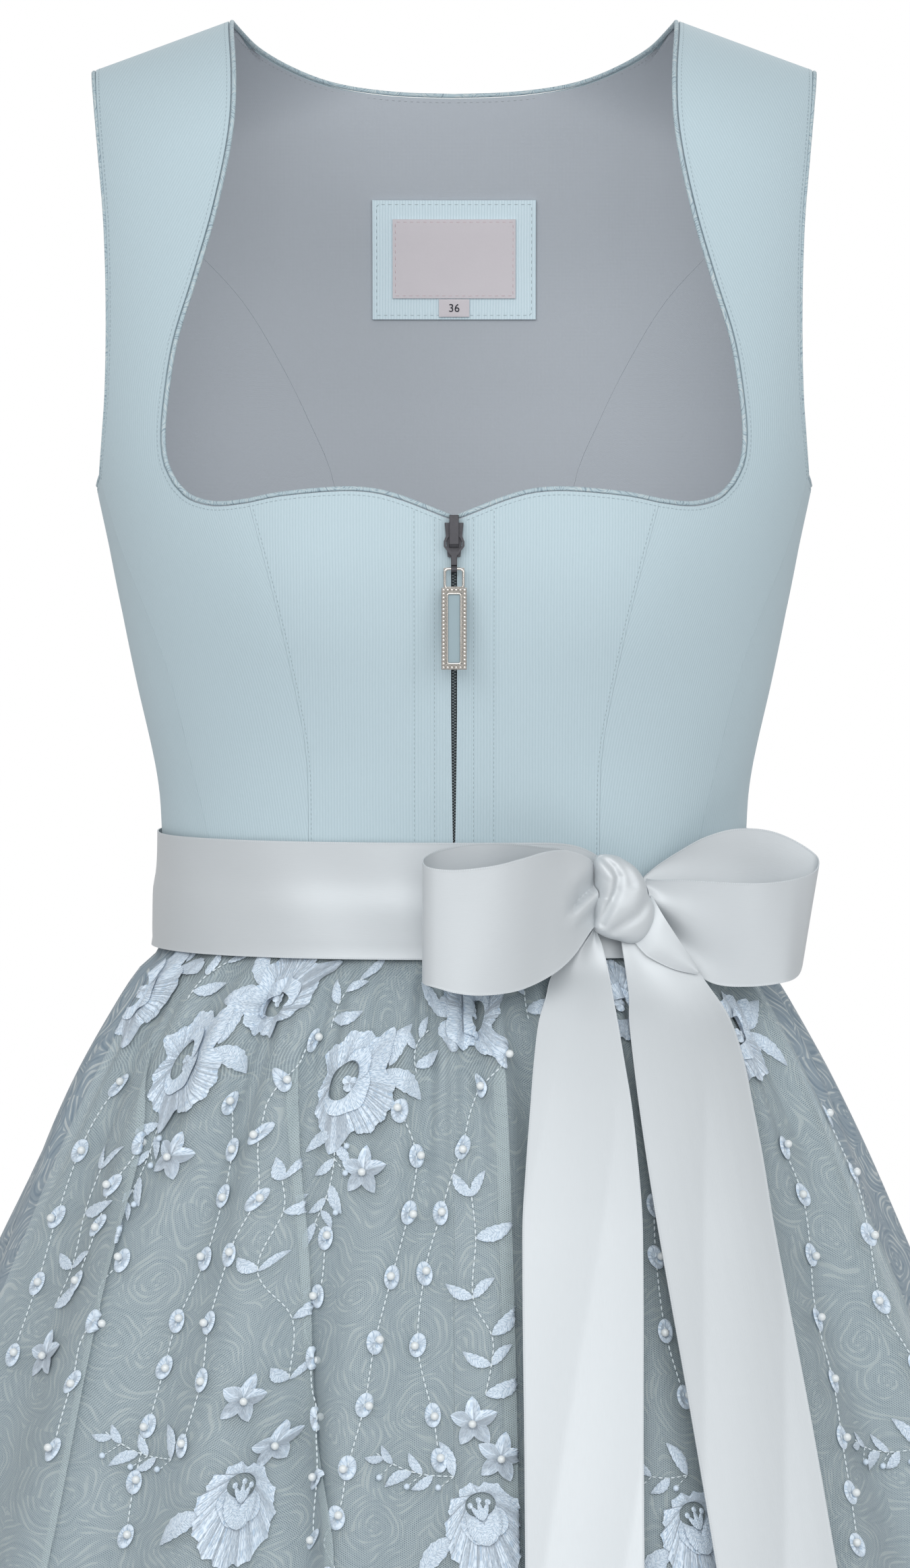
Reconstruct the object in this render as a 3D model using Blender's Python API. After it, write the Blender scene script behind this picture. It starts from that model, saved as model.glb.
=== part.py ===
"""A sleeveless dirndl with a gathered skirt, a sheer apron and a satin ribbon tied in a bow.

Metres, +Z up, the garment's front faces -Y. The origin is on the centre line at the height of the
shoulder seams, where the wearer's shoulders carry the dress. Every panel of the bodice is cut from
one form, so neighbours share their seam lines and stand a seam gap apart.
"""
import math

import bmesh
import bpy
from mathutils import Matrix, Vector

# Driving sizes
CLOTH_WALL = 0.0016
SKIRT_WALL = 0.0014
APRON_WALL = 0.0012
RIBBON_WALL = 0.0010
SEAM_GAP = 0.0003
PIPING_RADIUS = 0.0010
PIPING_SIDES = 6
WAIST_HEIGHT = -0.3680
UNDER_RIBBON_GAP = 0.0004

# The form that fills the bodice: half widths and depths of level sections, squarer than an oval
SECTION_POWER = 2.3
FORM = (  # height, half width, depth in front, depth behind, middle of the depth
    (-0.3680, 0.1285, 0.0905, 0.0880, 0.0000),
    (-0.3450, 0.1290, 0.0920, 0.0890, 0.0000),
    (-0.3275, 0.1300, 0.0945, 0.0900, 0.0000),
    (-0.3090, 0.1332, 0.0980, 0.0915, 0.0000),
    (-0.2810, 0.1395, 0.1055, 0.0940, 0.0000),
    (-0.2510, 0.1457, 0.1140, 0.0970, 0.0000),
    (-0.2190, 0.1520, 0.1190, 0.1010, 0.0000),
    (-0.1840, 0.1590, 0.1150, 0.1060, 0.0000),
    (-0.1500, 0.1630, 0.1060, 0.1100, 0.0020),
    (-0.1000, 0.1660, 0.0920, 0.1110, 0.0050),
    (-0.0500, 0.1680, 0.0780, 0.1000, 0.0090),
    (0.0000, 0.1700, 0.0680, 0.0850, 0.0120),
    (0.0500, 0.1700, 0.0600, 0.0760, 0.0120),
)
BUST_RISE, BUST_SIDE, BUST_SPREAD = 0.010, 0.072, 0.045
BUST_HEIGHT, BUST_TALL = -0.232, 0.050
SHOULDER_ROUND = 0.050
SHOULDER_NECK = (0.0980, 0.0113)
SHOULDER_ARM = (0.1590, -0.0109)

# Seam and edge lines of the bodice, from the waist upward: distance from the centre, height
FRONT_PRINCESS = (
    (0.0625, WAIST_HEIGHT), (0.0625, -0.3450), (0.0632, -0.3099), (0.0670, -0.2844),
    (0.0765, -0.2400), (0.0875, -0.1985),
)
FRONT_NECK_TOP = (
    (0.0000, -0.2060), (0.0111, -0.2015), (0.0217, -0.1974), (0.0336, -0.1942),
    (0.0479, -0.1934), (0.0740, -0.1957), (0.0875, -0.1985),
)
FRONT_NECK_LOW = (
    (0.0875, -0.1985), (0.0981, -0.1999), (0.1054, -0.1996), (0.1139, -0.1968),
    (0.1195, -0.1914),
)
FRONT_NECK_SIDE = (
    (0.1195, -0.1914), (0.1233, -0.1844), (0.1250, -0.1755), (0.1246, -0.1613),
    (0.1202, -0.1316), (0.1119, -0.1045), (0.1030, -0.0734), (0.0963, -0.0395),
    (0.0955, -0.0150), SHOULDER_NECK,
)
SIDE_SEAM = (
    (0.1012, WAIST_HEIGHT), (0.1060, -0.3465), (0.1127, -0.3182), (0.1233, -0.2742),
    (0.1318, -0.2507), (0.1450, -0.2190), (0.1545, -0.1885),
)
ARMHOLE_FRONT = (
    (0.1545, -0.1885), (0.1530, -0.1740), (0.1513, -0.1523), (0.1508, -0.1184),
    (0.1520, -0.0809), (0.1548, -0.0499), SHOULDER_ARM,
)
BACK_PRINCESS = (
    (0.0435, WAIST_HEIGHT), (0.0440, -0.3200), (0.0460, -0.2600), (0.0552, -0.1926),
    (0.0672, -0.1635), (0.0794, -0.1390), (0.0962, -0.1115), (0.1142, -0.0915),
    (0.1300, -0.0775), (0.1480, -0.0640),
)
ARMHOLE_GIRTH = 0.155
ARMHOLE_BACK_LOW = (  # turn from the front in degrees, height, under the arm and up the back
    (78.1, -0.1885), (84.0, -0.1930), (94.0, -0.1915), (104.0, -0.1780),
    (110.0, -0.1550), (113.0, -0.1250), (113.5, -0.0950), (112.0, -0.0700), (110.9, -0.0640),
)
ARMHOLE_BACK_HIGH = ((0.1480, -0.0640), (0.1505, -0.0480), (0.1545, -0.0280), SHOULDER_ARM)
BACK_CENTRE_TOP = -0.0174
BACK_NECK = (
    (0.0000, BACK_CENTRE_TOP), (0.0284, -0.0163), (0.0531, -0.0127), (0.0706, -0.0070),
    (0.0876, 0.0018), SHOULDER_NECK,
)
LOW_ROWS, STRAP_ROWS, BACK_TOP_ROWS = 10, 12, 5
CENTRE_COLUMNS, NECK_LOW_COLUMNS, STRAP_COLUMNS = 6, 4, 4
BACK_SIDE_COLUMNS, BACK_NECK_COLUMNS = 9, 5
ZIP_OPENING = 0.0013

# The skirt and the apron: one row of the net for each level section
SKIRT_ROWS = (  # height, half width, depth in front, depth behind, skirt fold, apron fold
    (-0.3683, 0.1285, 0.0905, 0.0880, 0.0002, 0.0002),
    (-0.3760, 0.1280, 0.0905, 0.0880, 0.0004, 0.0003),
    (-0.3870, 0.1278, 0.0905, 0.0885, 0.0006, 0.0004),
    (-0.3965, 0.1285, 0.0915, 0.0900, 0.0009, 0.0006),
    (-0.4060, 0.1370, 0.1000, 0.0990, 0.0018, 0.0012),
    (-0.4200, 0.1455, 0.1075, 0.1090, 0.0027, 0.0017),
    (-0.4550, 0.1630, 0.1220, 0.1270, 0.0042, 0.0023),
    (-0.5050, 0.1850, 0.1400, 0.1480, 0.0056, 0.0030),
    (-0.6000, 0.2240, 0.1720, 0.1830, 0.0070, 0.0038),
    (-0.7400, 0.2720, 0.2130, 0.2270, 0.0085, 0.0046),
    (-0.9850, 0.3380, 0.2740, 0.2920, 0.0100, 0.0054),
    (-1.0200, 0.3460, 0.2810, 0.3000, 0.0102, 0.0055),
)
SKIRT_COLUMNS = 32
GATHERS, FOLDS, APRON_FOLDS = 32, 18, 22
FIRST_FOLD = math.radians(-24)
GATHERS_END, FOLDS_START = -0.40, -0.55
APRON_FIRST_ROW, APRON_LAST_ROW = 1, 10
APRON_REACH = 25
APRON_CLEARANCE = 0.0004
SKIRT_SEAM = 0.0002

# The satin ribbon round the waist and its bow
RIBBON_ROWS = (  # height, how far its inside stands off the section
    (-0.3453, 0.0006), (-0.3620, 0.0010), (-0.3730, 0.0029), (-0.3953, 0.0042),
)
RIBBON_COLUMNS = 60
KNOT_SIDE, KNOT_HEIGHT = 0.0680, -0.3685
KNOT_SIZE = (0.024, 0.014, 0.037)
KNOT_BACK = 0.0056
KNOT_ROUNDING = 0.005
LOOP_START = 0.0124
LOOP_REACH = {"left": 1.12, "right": 1.04}
BOW_LOOP = (  # way out from the knot, way forward, half of the band's height, rise
    (LOOP_START, 0.0150, 0.0130, 0.0000),
    (0.0300, 0.0215, 0.0195, -0.0080),
    (0.0500, 0.0285, 0.0240, -0.0130),
    (0.0680, 0.0300, 0.0250, -0.0140),
    (0.0800, 0.0260, 0.0250, -0.0110),
    (0.0850, 0.0185, 0.0250, -0.0050),
    (0.0800, 0.0115, 0.0250, 0.0000),
    (0.0660, 0.0085, 0.0245, 0.0020),
    (0.0450, 0.0078, 0.0225, 0.0020),
    (0.0280, 0.0075, 0.0175, 0.0010),
    (LOOP_START, 0.0078, 0.0120, 0.0000),
)
LOOP_STATIONS, LOOP_COLUMNS, TAIL_COLUMNS = 22, 4, 4
TAIL_CLEARANCE = 0.0006
LEFT_TAIL = (  # height, nearer edge, farther edge, to the wearer's left of the centre
    (-0.3885, 0.0440, 0.0640), (-0.3965, 0.0400, 0.0655), (-0.4060, 0.0385, 0.0672),
    (-0.4200, 0.0360, 0.0697), (-0.4375, 0.0337, 0.0726), (-0.4550, 0.0322, 0.0754),
    (-0.4800, 0.0302, 0.0780), (-0.5050, 0.0287, 0.0795), (-0.6000, 0.0293, 0.0790),
    (-0.7400, 0.0300, 0.0790), (-0.9150, 0.0300, 0.0790),
)
RIGHT_TAIL = (
    (-0.3885, 0.0715, 0.0965), (-0.3965, 0.0722, 0.1040), (-0.4060, 0.0732, 0.1110),
    (-0.4200, 0.0747, 0.1180), (-0.4375, 0.0764, 0.1240), (-0.4550, 0.0785, 0.1275),
    (-0.4800, 0.0820, 0.1320), (-0.5050, 0.0860, 0.1358), (-0.6000, 0.1025, 0.1530),
    (-0.7400, 0.1250, 0.1755), (-0.9000, 0.1490, 0.1995),
)
TAIL_SLANT = 0.026

# The zip, its slider, its puller and the pendant
CHAIN_HALF, CHAIN_RECESS = 0.00095, 0.0002
TAPE_HALF, TAPE_GAP, TAPE_WALL = 0.0120, 0.0006, 0.0007
ZIP_TOP, ZIP_BOTTOM = -0.2132, -0.3675
SLIDER_TOP, SLIDER_SHOULDER, SLIDER_BOTTOM = -0.2047, -0.2080, -0.2225
SLIDER_HALF_TOP, SLIDER_HALF_BOTTOM, BRIDGE_HALF = 0.0040, 0.0027, 0.0020
SLIDER_GAP, SLIDER_WALL = 0.0004, 0.0014
BRIDGE_CLEAR, BRIDGE_WALL, BRIDGE_END = 0.0024, 0.0010, -0.2183
WEDGE_HALF, WEDGE_TOP, WEDGE_END = 0.0008, -0.2085, -0.2125
BACK_PLATE_HALF, BACK_PLATE_WALL = 0.0035, 0.0009
PULLER_AXIS_HEIGHT, PENDANT_AXIS_HEIGHT = -0.2135, -0.2275
PULLER_AXIS_CLEAR = 0.0015
PULLER_WALL = 0.0010
PULLER_RING = (  # height from the axis, half width outside
    (0.0005, 0.0032), (-0.0024, 0.0044), (-0.0045, 0.0044), (-0.0082, 0.0016),
)
PULLER_HOLE = ((-0.0005, 0.0024), (-0.0026, 0.0034), (-0.0043, 0.0034), (-0.0066, 0.0015))
NECK_HALF = 0.0012
EYE_RADIUS, EYE_HOLE, EYE_HALF, EYE_SIDES = 0.0018, 0.00095, 0.0013, 12
LOOP_BAR, LOOP_HALF = 0.0009, 0.0044
PENDANT_TOP, PENDANT_BOTTOM, PENDANT_HALF = -0.2354, -0.2701, 0.0054
PENDANT_WALL, PENDANT_BORDER = 0.0018, 0.0023
INLAY_WALL = 0.0010

# The patch, label and size tag inside the back: half width, top, bottom, wall
PATCH = (0.0375, -0.0640, -0.1188, 0.0010)
LABEL = (0.0283, -0.0725, -0.1091, 0.0008)
TAG = (0.0070, -0.1095, -0.1177, 0.0008)
PATCH_GAP = 0.0005

FINISHES = {  # base colour, roughness, metallic
    "bodice_cord": ((0.52, 0.68, 0.74), 0.85, 0.0),
    "piping_print": ((0.36, 0.44, 0.48), 0.80, 0.0),
    "skirt_cloth": ((0.25, 0.34, 0.40), 0.75, 0.0),
    "apron_tulle": ((0.42, 0.52, 0.56), 0.70, 0.0),
    "satin": ((0.76, 0.82, 0.86), 0.28, 0.0),
    "zip_metal": ((0.10, 0.10, 0.12), 0.35, 1.0),
    "silver": ((0.62, 0.58, 0.54), 0.25, 1.0),
    "inlay": ((0.36, 0.48, 0.54), 0.45, 0.0),
    "label_woven": ((0.72, 0.72, 0.78), 0.60, 0.0),
}


def clear_scene():
    """Removes what a new file starts with."""
    for item in list(bpy.data.objects):
        bpy.data.objects.remove(item, do_unlink=True)


def finish_material(name):
    """The material of this name, made on first use."""
    material = bpy.data.materials.get(name)
    if material is None:
        colour, roughness, metallic = FINISHES[name]
        material = bpy.data.materials.new(name)
        material.use_nodes = True
        shader = material.node_tree.nodes["Principled BSDF"]
        shader.inputs["Base Color"].default_value = (*colour, 1.0)
        shader.inputs["Roughness"].default_value = roughness
        shader.inputs["Metallic"].default_value = metallic
    return material


def add_object(name, mesh_build, finish, location=(0.0, 0.0, 0.0)):
    """Turns a bmesh into a named object with its finish."""
    mesh_build.normal_update()
    bmesh.ops.recalc_face_normals(mesh_build, faces=mesh_build.faces[:])
    mesh = bpy.data.meshes.new(name)
    mesh_build.to_mesh(mesh)
    mesh_build.free()
    mesh.materials.append(finish_material(finish))
    piece = bpy.data.objects.new(name, mesh)
    piece.location = location
    bpy.context.collection.objects.link(piece)
    return piece


def table_at(rows, key):
    """The values of a table at a key, straight between its rows."""
    ordered = sorted(rows)
    key = min(max(key, ordered[0][0]), ordered[-1][0])
    for low, high in zip(ordered, ordered[1:]):
        if key <= high[0]:
            share = (key - low[0]) / (high[0] - low[0])
            return [a + (b - a) * share for a, b in zip(low[1:], high[1:])]
    return list(ordered[-1][1:])


def curve_at(points, share):
    """A point on a smooth curve through the points, share 0 to 1 of its chord length."""
    knots = [0.0]
    for a, b in zip(points, points[1:]):
        knots.append(knots[-1] + math.dist(a, b))
    place = share * knots[-1]
    last = len(points) - 2
    piece = min(sum(1 for knot in knots[1:-1] if place > knot), last)

    def slope(index, axis):
        before, after = max(index - 1, 0), min(index + 1, len(points) - 1)
        return (points[after][axis] - points[before][axis]) / (knots[after] - knots[before])

    width = knots[piece + 1] - knots[piece]
    t = (place - knots[piece]) / width
    result = []
    for axis in range(len(points[0])):
        a, b = points[piece][axis], points[piece + 1][axis]
        result.append(
            (2 * t ** 3 - 3 * t ** 2 + 1) * a
            + (t ** 3 - 2 * t ** 2 + t) * width * slope(piece, axis)
            + (3 * t ** 2 - 2 * t ** 3) * b
            + (t ** 3 - t ** 2) * width * slope(piece + 1, axis)
        )
    return result


def spaced(points, steps):
    """The curve's points at even steps, both ends included."""
    return [curve_at(points, step / steps) for step in range(steps + 1)]


def section_radius(turn, half, deep):
    """How far a section reaches at a turn from the front or the back."""
    across = abs(math.sin(turn)) / half
    along = abs(math.cos(turn)) / deep
    return (across ** SECTION_POWER + along ** SECTION_POWER) ** (-1 / SECTION_POWER)


def shoulder_height(side):
    """The height of the shoulder line at a distance from the centre."""
    slope = (SHOULDER_ARM[1] - SHOULDER_NECK[1]) / (SHOULDER_ARM[0] - SHOULDER_NECK[0])
    return SHOULDER_NECK[1] + slope * (side - SHOULDER_NECK[0])


def form_point(turn, down):
    """A place on the bodice's outer face: a turn from the front and a way down the cloth."""
    quarter = SHOULDER_ROUND * math.pi / 2
    if down < quarter:
        drop = SHOULDER_ROUND * (1 - math.cos(down / SHOULDER_ROUND))
        depth_share = math.sin(down / SHOULDER_ROUND)
    else:
        drop = SHOULDER_ROUND + down - quarter
        depth_share = 1.0
    height = SHOULDER_ARM[1] - drop
    for _ in range(8):
        half, front, back, middle = table_smooth(height)
        deep = front if math.cos(turn) > 0 else back
        radius = section_radius(turn, half, deep)
        side = radius * math.sin(turn)
        height = shoulder_height(abs(side)) - drop
    bust = 0.0
    if math.cos(turn) > 0:
        spread = ((abs(side) - BUST_SIDE) / BUST_SPREAD) ** 2
        spread += ((height - BUST_HEIGHT) / BUST_TALL) ** 2
        bust = BUST_RISE * math.exp(-spread) * min(1.0, 4 * math.cos(turn))
    depth = radius * math.cos(turn) * depth_share + bust
    return Vector((side, middle - depth, height))


def table_smooth(height):
    """The form's section at a height, with no kinks between its rows."""
    rows = FORM
    height = min(max(height, rows[0][0]), rows[-1][0])
    for index in range(len(rows) - 1):
        if height <= rows[index + 1][0]:
            break
    before, low = rows[max(index - 1, 0)], rows[index]
    high, after = rows[index + 1], rows[min(index + 2, len(rows) - 1)]
    width = high[0] - low[0]
    t = (height - low[0]) / width
    values = []
    for column in range(1, 5):
        first = (high[column] - before[column]) / (high[0] - before[0]) * width
        second = (after[column] - low[column]) / (after[0] - low[0]) * width
        values.append(
            (2 * t ** 3 - 3 * t ** 2 + 1) * low[column] + (t ** 3 - 2 * t ** 2 + t) * first
            + (3 * t ** 2 - 2 * t ** 3) * high[column] + (t ** 3 - t ** 2) * second
        )
    return values


def way_down(side, height):
    """The way down the cloth from the shoulder line to a height."""
    drop = shoulder_height(side) - height
    if drop < SHOULDER_ROUND:
        return SHOULDER_ROUND * math.acos(1 - max(drop, 0.0) / SHOULDER_ROUND)
    return SHOULDER_ROUND * math.pi / 2 + drop - SHOULDER_ROUND


def on_form(side, height, front=True):
    """Turns a distance from the centre and a height into the form's own turn and way down."""
    half, ahead, behind, _ = table_smooth(height)
    deep = ahead if front else behind
    rest = max(1 - (side / half) ** SECTION_POWER, 0.0)
    across = deep * rest ** (1 / SECTION_POWER)
    turn = math.atan2(side, across if front else -across)
    return turn, way_down(side, height)


def at_turn(degrees, height):
    """Turns a turn and a height into the form's own turn and way down."""
    turn = math.radians(degrees)
    half, ahead, behind, _ = table_smooth(height)
    side = section_radius(turn, half, ahead if math.cos(turn) > 0 else behind) * math.sin(turn)
    return turn, way_down(side, height)


def form_normal(turn, down):
    """The outward direction of the bodice's face."""
    turn_step, down_step = 0.01, 0.002
    low = max(down - down_step, 0.0)
    along = form_point(turn + turn_step, down) - form_point(turn - turn_step, down)
    downward = form_point(turn, down + down_step) - form_point(turn, low)
    normal = along.cross(downward)
    if normal.dot(Vector((math.sin(turn), -math.cos(turn), 0.3))) < 0:
        normal.negate()
    return normal.normalized()


def form_net(net):
    """Points and outward directions of a net of turns and ways down."""
    points = [[form_point(*place) for place in row] for row in net]
    normals = [[form_normal(*place) for place in row] for row in net]
    return points, normals


def between(first, second, steps):
    """Evenly spaced places between two places of the form."""
    return [
        tuple(a + (b - a) * step / steps for a, b in zip(first, second))
        for step in range(steps + 1)
    ]


def waist_line(first, second, steps):
    """Level places at the waist between two places of the form."""
    return [
        at_turn(math.degrees(first[0] + (second[0] - first[0]) * step / steps), WAIST_HEIGHT)
        for step in range(steps + 1)
    ]


def patch(bottom, top, left, right):
    """A net of places whose four edges follow four lines, as rows from bottom to top."""
    rows, columns = len(left) - 1, len(bottom) - 1
    net = []
    for r in range(rows + 1):
        up = r / rows
        cells = []
        for c in range(columns + 1):
            over = c / columns
            cells.append(tuple(
                (1 - up) * bottom[c][k] + up * top[c][k]
                + (1 - over) * left[r][k] + over * right[r][k]
                - (1 - up) * ((1 - over) * bottom[0][k] + over * bottom[-1][k])
                - up * ((1 - over) * top[0][k] + over * top[-1][k])
                for k in (0, 1)
            ))
        net.append(cells)
    return net


def edge_moves(points, normals, quads, amount):
    """How far each edge point is drawn into its panel so that both its edges step back."""
    sides = {}
    for quad in quads:
        middle = sum((points[corner] for corner in quad), Vector()) / 4
        for a, b in zip(quad, quad[1:] + quad[:1]):
            key = frozenset((a, b))
            sides[key] = None if key in sides else (a, b, middle)
    steps = {}
    for side in sides.values():
        if side is None:
            continue
        a, b, middle = side
        along = (points[b] - points[a]).normalized()
        inward = along.cross(normals[a] + normals[b]).normalized()
        if inward.dot(middle - points[a]) < 0:
            inward.negate()
        for corner in (a, b):
            steps.setdefault(corner, []).append((inward, amount(a, b)))
    moves = {}
    for corner, ((first, near), (second, far)) in steps.items():
        shared = first.dot(second)
        if shared > 0.97:
            moves[corner] = (first + second).normalized() * max(near, far)
        else:
            scale = 1 / (1 - shared * shared)
            moves[corner] = (
                first * ((near - far * shared) * scale) + second * ((far - near * shared) * scale)
            )
    return moves


def panel_mesh(net, amount, wall=CLOTH_WALL, both_sides=False):
    """A closed wall on a net of places of the form, its edges drawn in, mirrored if asked."""
    points = {key: form_point(*place) for key, place in net.items()}
    normals = {key: form_normal(*place) for key, place in net.items()}
    quads = []
    for r, c in net:
        quad = ((r, c), (r, c + 1), (r + 1, c + 1), (r + 1, c))
        if all(corner in net for corner in quad):
            quads.append(quad)
    if both_sides:
        def flipped(key):
            return (key[0], -key[1])

        for key in list(net):
            points[flipped(key)] = Vector((-points[key].x, points[key].y, points[key].z))
            normals[flipped(key)] = Vector((-normals[key].x, normals[key].y, normals[key].z))
        quads += [tuple(flipped(corner) for corner in quad) for quad in quads]
    for key, move in edge_moves(points, normals, quads, amount).items():
        points[key] = points[key] + move
    return solid_from_quads(points, normals, quads, wall)


def solid_from_quads(points, normals, quads, wall):
    """The outer face, the inner face and the rims of a wall."""
    build = bmesh.new()
    outer = {key: build.verts.new(point) for key, point in points.items()}
    inner = {key: build.verts.new(points[key] - normals[key] * wall) for key in points}
    used = {}
    for quad in quads:
        build.faces.new([outer[corner] for corner in quad])
        build.faces.new([inner[corner] for corner in reversed(quad)])
        for a, b in zip(quad, quad[1:] + quad[:1]):
            key = frozenset((a, b))
            used[key] = None if key in used else (a, b)
    for side in used.values():
        if side is not None:
            a, b = side
            build.faces.new((outer[b], outer[a], inner[a], inner[b]))
    return build


def wall_mesh(points, normals, wall, closed=False):
    """A closed wall: the net's outer face, its inner face and the rims between them."""
    build = bmesh.new()
    outer = [[build.verts.new(p) for p in row] for row in points]
    inner = [
        [build.verts.new(p - n * wall) for p, n in zip(row, directions)]
        for row, directions in zip(points, normals)
    ]
    rows, columns = len(points), len(points[0])
    last = columns if closed else columns - 1
    for r in range(rows - 1):
        for c in range(last):
            d = (c + 1) % columns
            build.faces.new((outer[r][c], outer[r][d], outer[r + 1][d], outer[r + 1][c]))
            build.faces.new((inner[r][c], inner[r + 1][c], inner[r + 1][d], inner[r][d]))
    for c in range(last):
        d = (c + 1) % columns
        for r in (0, rows - 1):
            build.faces.new((outer[r][c], outer[r][d], inner[r][d], inner[r][c]))
    if not closed:
        for r in range(rows - 1):
            for c in (0, columns - 1):
                build.faces.new((outer[r][c], outer[r + 1][c], inner[r + 1][c], inner[r][c]))
    return build


def mirror_copy(piece, name):
    """The wearer's right hand piece from the left hand one."""
    mesh = piece.data.copy()
    mesh.name = name
    mesh.transform(Matrix.Scale(-1, 4, (1, 0, 0)))
    mesh.flip_normals()
    copy = bpy.data.objects.new(name, mesh)
    bpy.context.collection.objects.link(copy)


def add_panel_pair(name, net, amount):
    """A panel on the wearer's left and its mirror image on the right."""
    piece = add_object(f"{name}_left", panel_mesh(net, amount), "bodice_cord")
    mirror_copy(piece, f"{name}_right")


def seam_lines():
    """Every seam and edge of one half of the bodice, as places on the form."""
    front = {
        "princess": spaced(FRONT_PRINCESS, LOW_ROWS),
        "neck_top": spaced(FRONT_NECK_TOP, CENTRE_COLUMNS),
        "neck_low": spaced(FRONT_NECK_LOW, NECK_LOW_COLUMNS),
        "neck_side": spaced(FRONT_NECK_SIDE, STRAP_ROWS),
        "side": spaced(SIDE_SEAM, LOW_ROWS),
        "arm_front": spaced(ARMHOLE_FRONT, STRAP_ROWS),
        "shoulder_front": spaced((SHOULDER_NECK, SHOULDER_ARM), STRAP_COLUMNS),
    }
    back = {
        "back_princess": spaced(BACK_PRINCESS, LOW_ROWS),
        "back_arm_high": spaced(ARMHOLE_BACK_HIGH, BACK_TOP_ROWS),
        "back_neck": spaced(BACK_NECK, BACK_NECK_COLUMNS),
        "shoulder_back": spaced((SHOULDER_NECK, SHOULDER_ARM), STRAP_COLUMNS),
    }
    lines = {name: [on_form(*p) for p in line] for name, line in front.items()}
    lines.update({name: [on_form(*p, front=False) for p in line] for name, line in back.items()})
    under = [(math.radians(turn) * ARMHOLE_GIRTH, height) for turn, height in ARMHOLE_BACK_LOW]
    under = spaced(under, BACK_SIDE_COLUMNS)
    under = [at_turn(math.degrees(around / ARMHOLE_GIRTH), height) for around, height in under]
    lines["back_arm_low"] = [lines["side"][-1]] + under[1:-1] + [lines["back_princess"][-1]]
    return lines


def add_bodice(lines):
    """Front centre, front side with its strap, back side and back centre panels."""
    edge = PIPING_RADIUS + SEAM_GAP + 0.00012
    seam = SEAM_GAP / 2 + 0.00002
    princess, side = lines["princess"], lines["side"]

    front_low = [on_form(0.0, WAIST_HEIGHT), lines["neck_top"][0]]
    centre = between(*front_low, LOW_ROWS)
    waist = waist_line(centre[0], princess[0], CENTRE_COLUMNS)
    rows = patch(waist, lines["neck_top"], centre, princess)
    net = {(r, c): place for r, row in enumerate(rows) for c, place in enumerate(row)}

    def centre_amount(a, b):
        if a[1] == b[1] == 0:
            return ZIP_OPENING
        if a[0] == b[0]:
            return edge if a[0] == LOW_ROWS else 0.0
        return seam

    add_panel_pair("bodice_front_centre", net, centre_amount)

    strap_base = between(lines["neck_low"][-1], side[-1], STRAP_COLUMNS)
    top = lines["neck_low"] + strap_base[1:]
    waist = waist_line(princess[0], side[0], len(top) - 1)
    rows = patch(waist, top, princess, side)
    net = {(r, c): place for r, row in enumerate(rows) for c, place in enumerate(row)}
    rows = patch(strap_base, lines["shoulder_front"], lines["neck_side"], lines["arm_front"])
    for r, row in enumerate(rows[1:], LOW_ROWS + 1):
        for c, place in enumerate(row, NECK_LOW_COLUMNS):
            net[r, c] = place
    shoulder_row = LOW_ROWS + STRAP_ROWS

    def front_side_amount(a, b):
        if a[0] == b[0]:
            return {0: 0.0, shoulder_row: seam}.get(a[0], edge)
        return edge if max(a[0], b[0]) > LOW_ROWS else seam

    add_panel_pair("bodice_front_side", net, front_side_amount)

    waist = waist_line(side[0], lines["back_princess"][0], BACK_SIDE_COLUMNS)
    rows = patch(waist, lines["back_arm_low"], side, lines["back_princess"])
    net = {(r, c): place for r, row in enumerate(rows) for c, place in enumerate(row)}

    def back_side_amount(a, b):
        if a[0] == b[0]:
            return edge if a[0] == LOW_ROWS else 0.0
        return seam

    add_panel_pair("bodice_back_side", net, back_side_amount)

    outer = lines["back_princess"] + lines["back_arm_high"][1:]
    low = on_form(0.0, WAIST_HEIGHT, front=False)
    centre = between(low, lines["back_neck"][0], len(outer) - 1)
    top = lines["back_neck"] + lines["shoulder_back"][1:]
    waist = waist_line(low, lines["back_princess"][0], len(top) - 1)
    rows = patch(waist, top, centre, outer)
    net = {(r, c): place for r, row in enumerate(rows) for c, place in enumerate(row)}
    top_row = len(rows) - 1

    def back_centre_amount(a, b):
        if a[0] == b[0]:
            if a[0] == 0:
                return 0.0
            return edge if max(abs(a[1]), abs(b[1])) <= BACK_NECK_COLUMNS else seam
        return edge if max(a[0], b[0]) > LOW_ROWS else seam

    build = panel_mesh(net, back_centre_amount, both_sides=True)
    add_object("bodice_back_centre", build, "bodice_cord")


def tube_mesh(points, normals, radius, closed):
    """A cord of piping along points that lie on the form's face."""
    build = bmesh.new()
    rings = []
    count = len(points)
    for index, (point, normal) in enumerate(zip(points, normals)):
        before = points[(index - 1) % count] if closed else points[max(index - 1, 0)]
        after = points[(index + 1) % count] if closed else points[min(index + 1, count - 1)]
        along = (after - before).normalized()
        across = along.cross(normal).normalized()
        upward = across.cross(along)
        middle = point - normal * (CLOTH_WALL / 2)
        ring = []
        for side in range(PIPING_SIDES):
            angle = 2 * math.pi * side / PIPING_SIDES
            offset = across * math.cos(angle) + upward * math.sin(angle)
            ring.append(build.verts.new(middle + offset * radius))
        rings.append(ring)
    last = count if closed else count - 1
    for index in range(last):
        ring, following = rings[index], rings[(index + 1) % count]
        for side in range(PIPING_SIDES):
            other = (side + 1) % PIPING_SIDES
            build.faces.new((ring[side], ring[other], following[other], following[side]))
    if not closed:
        build.faces.new(rings[0])
        build.faces.new(rings[-1])
    return build


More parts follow.
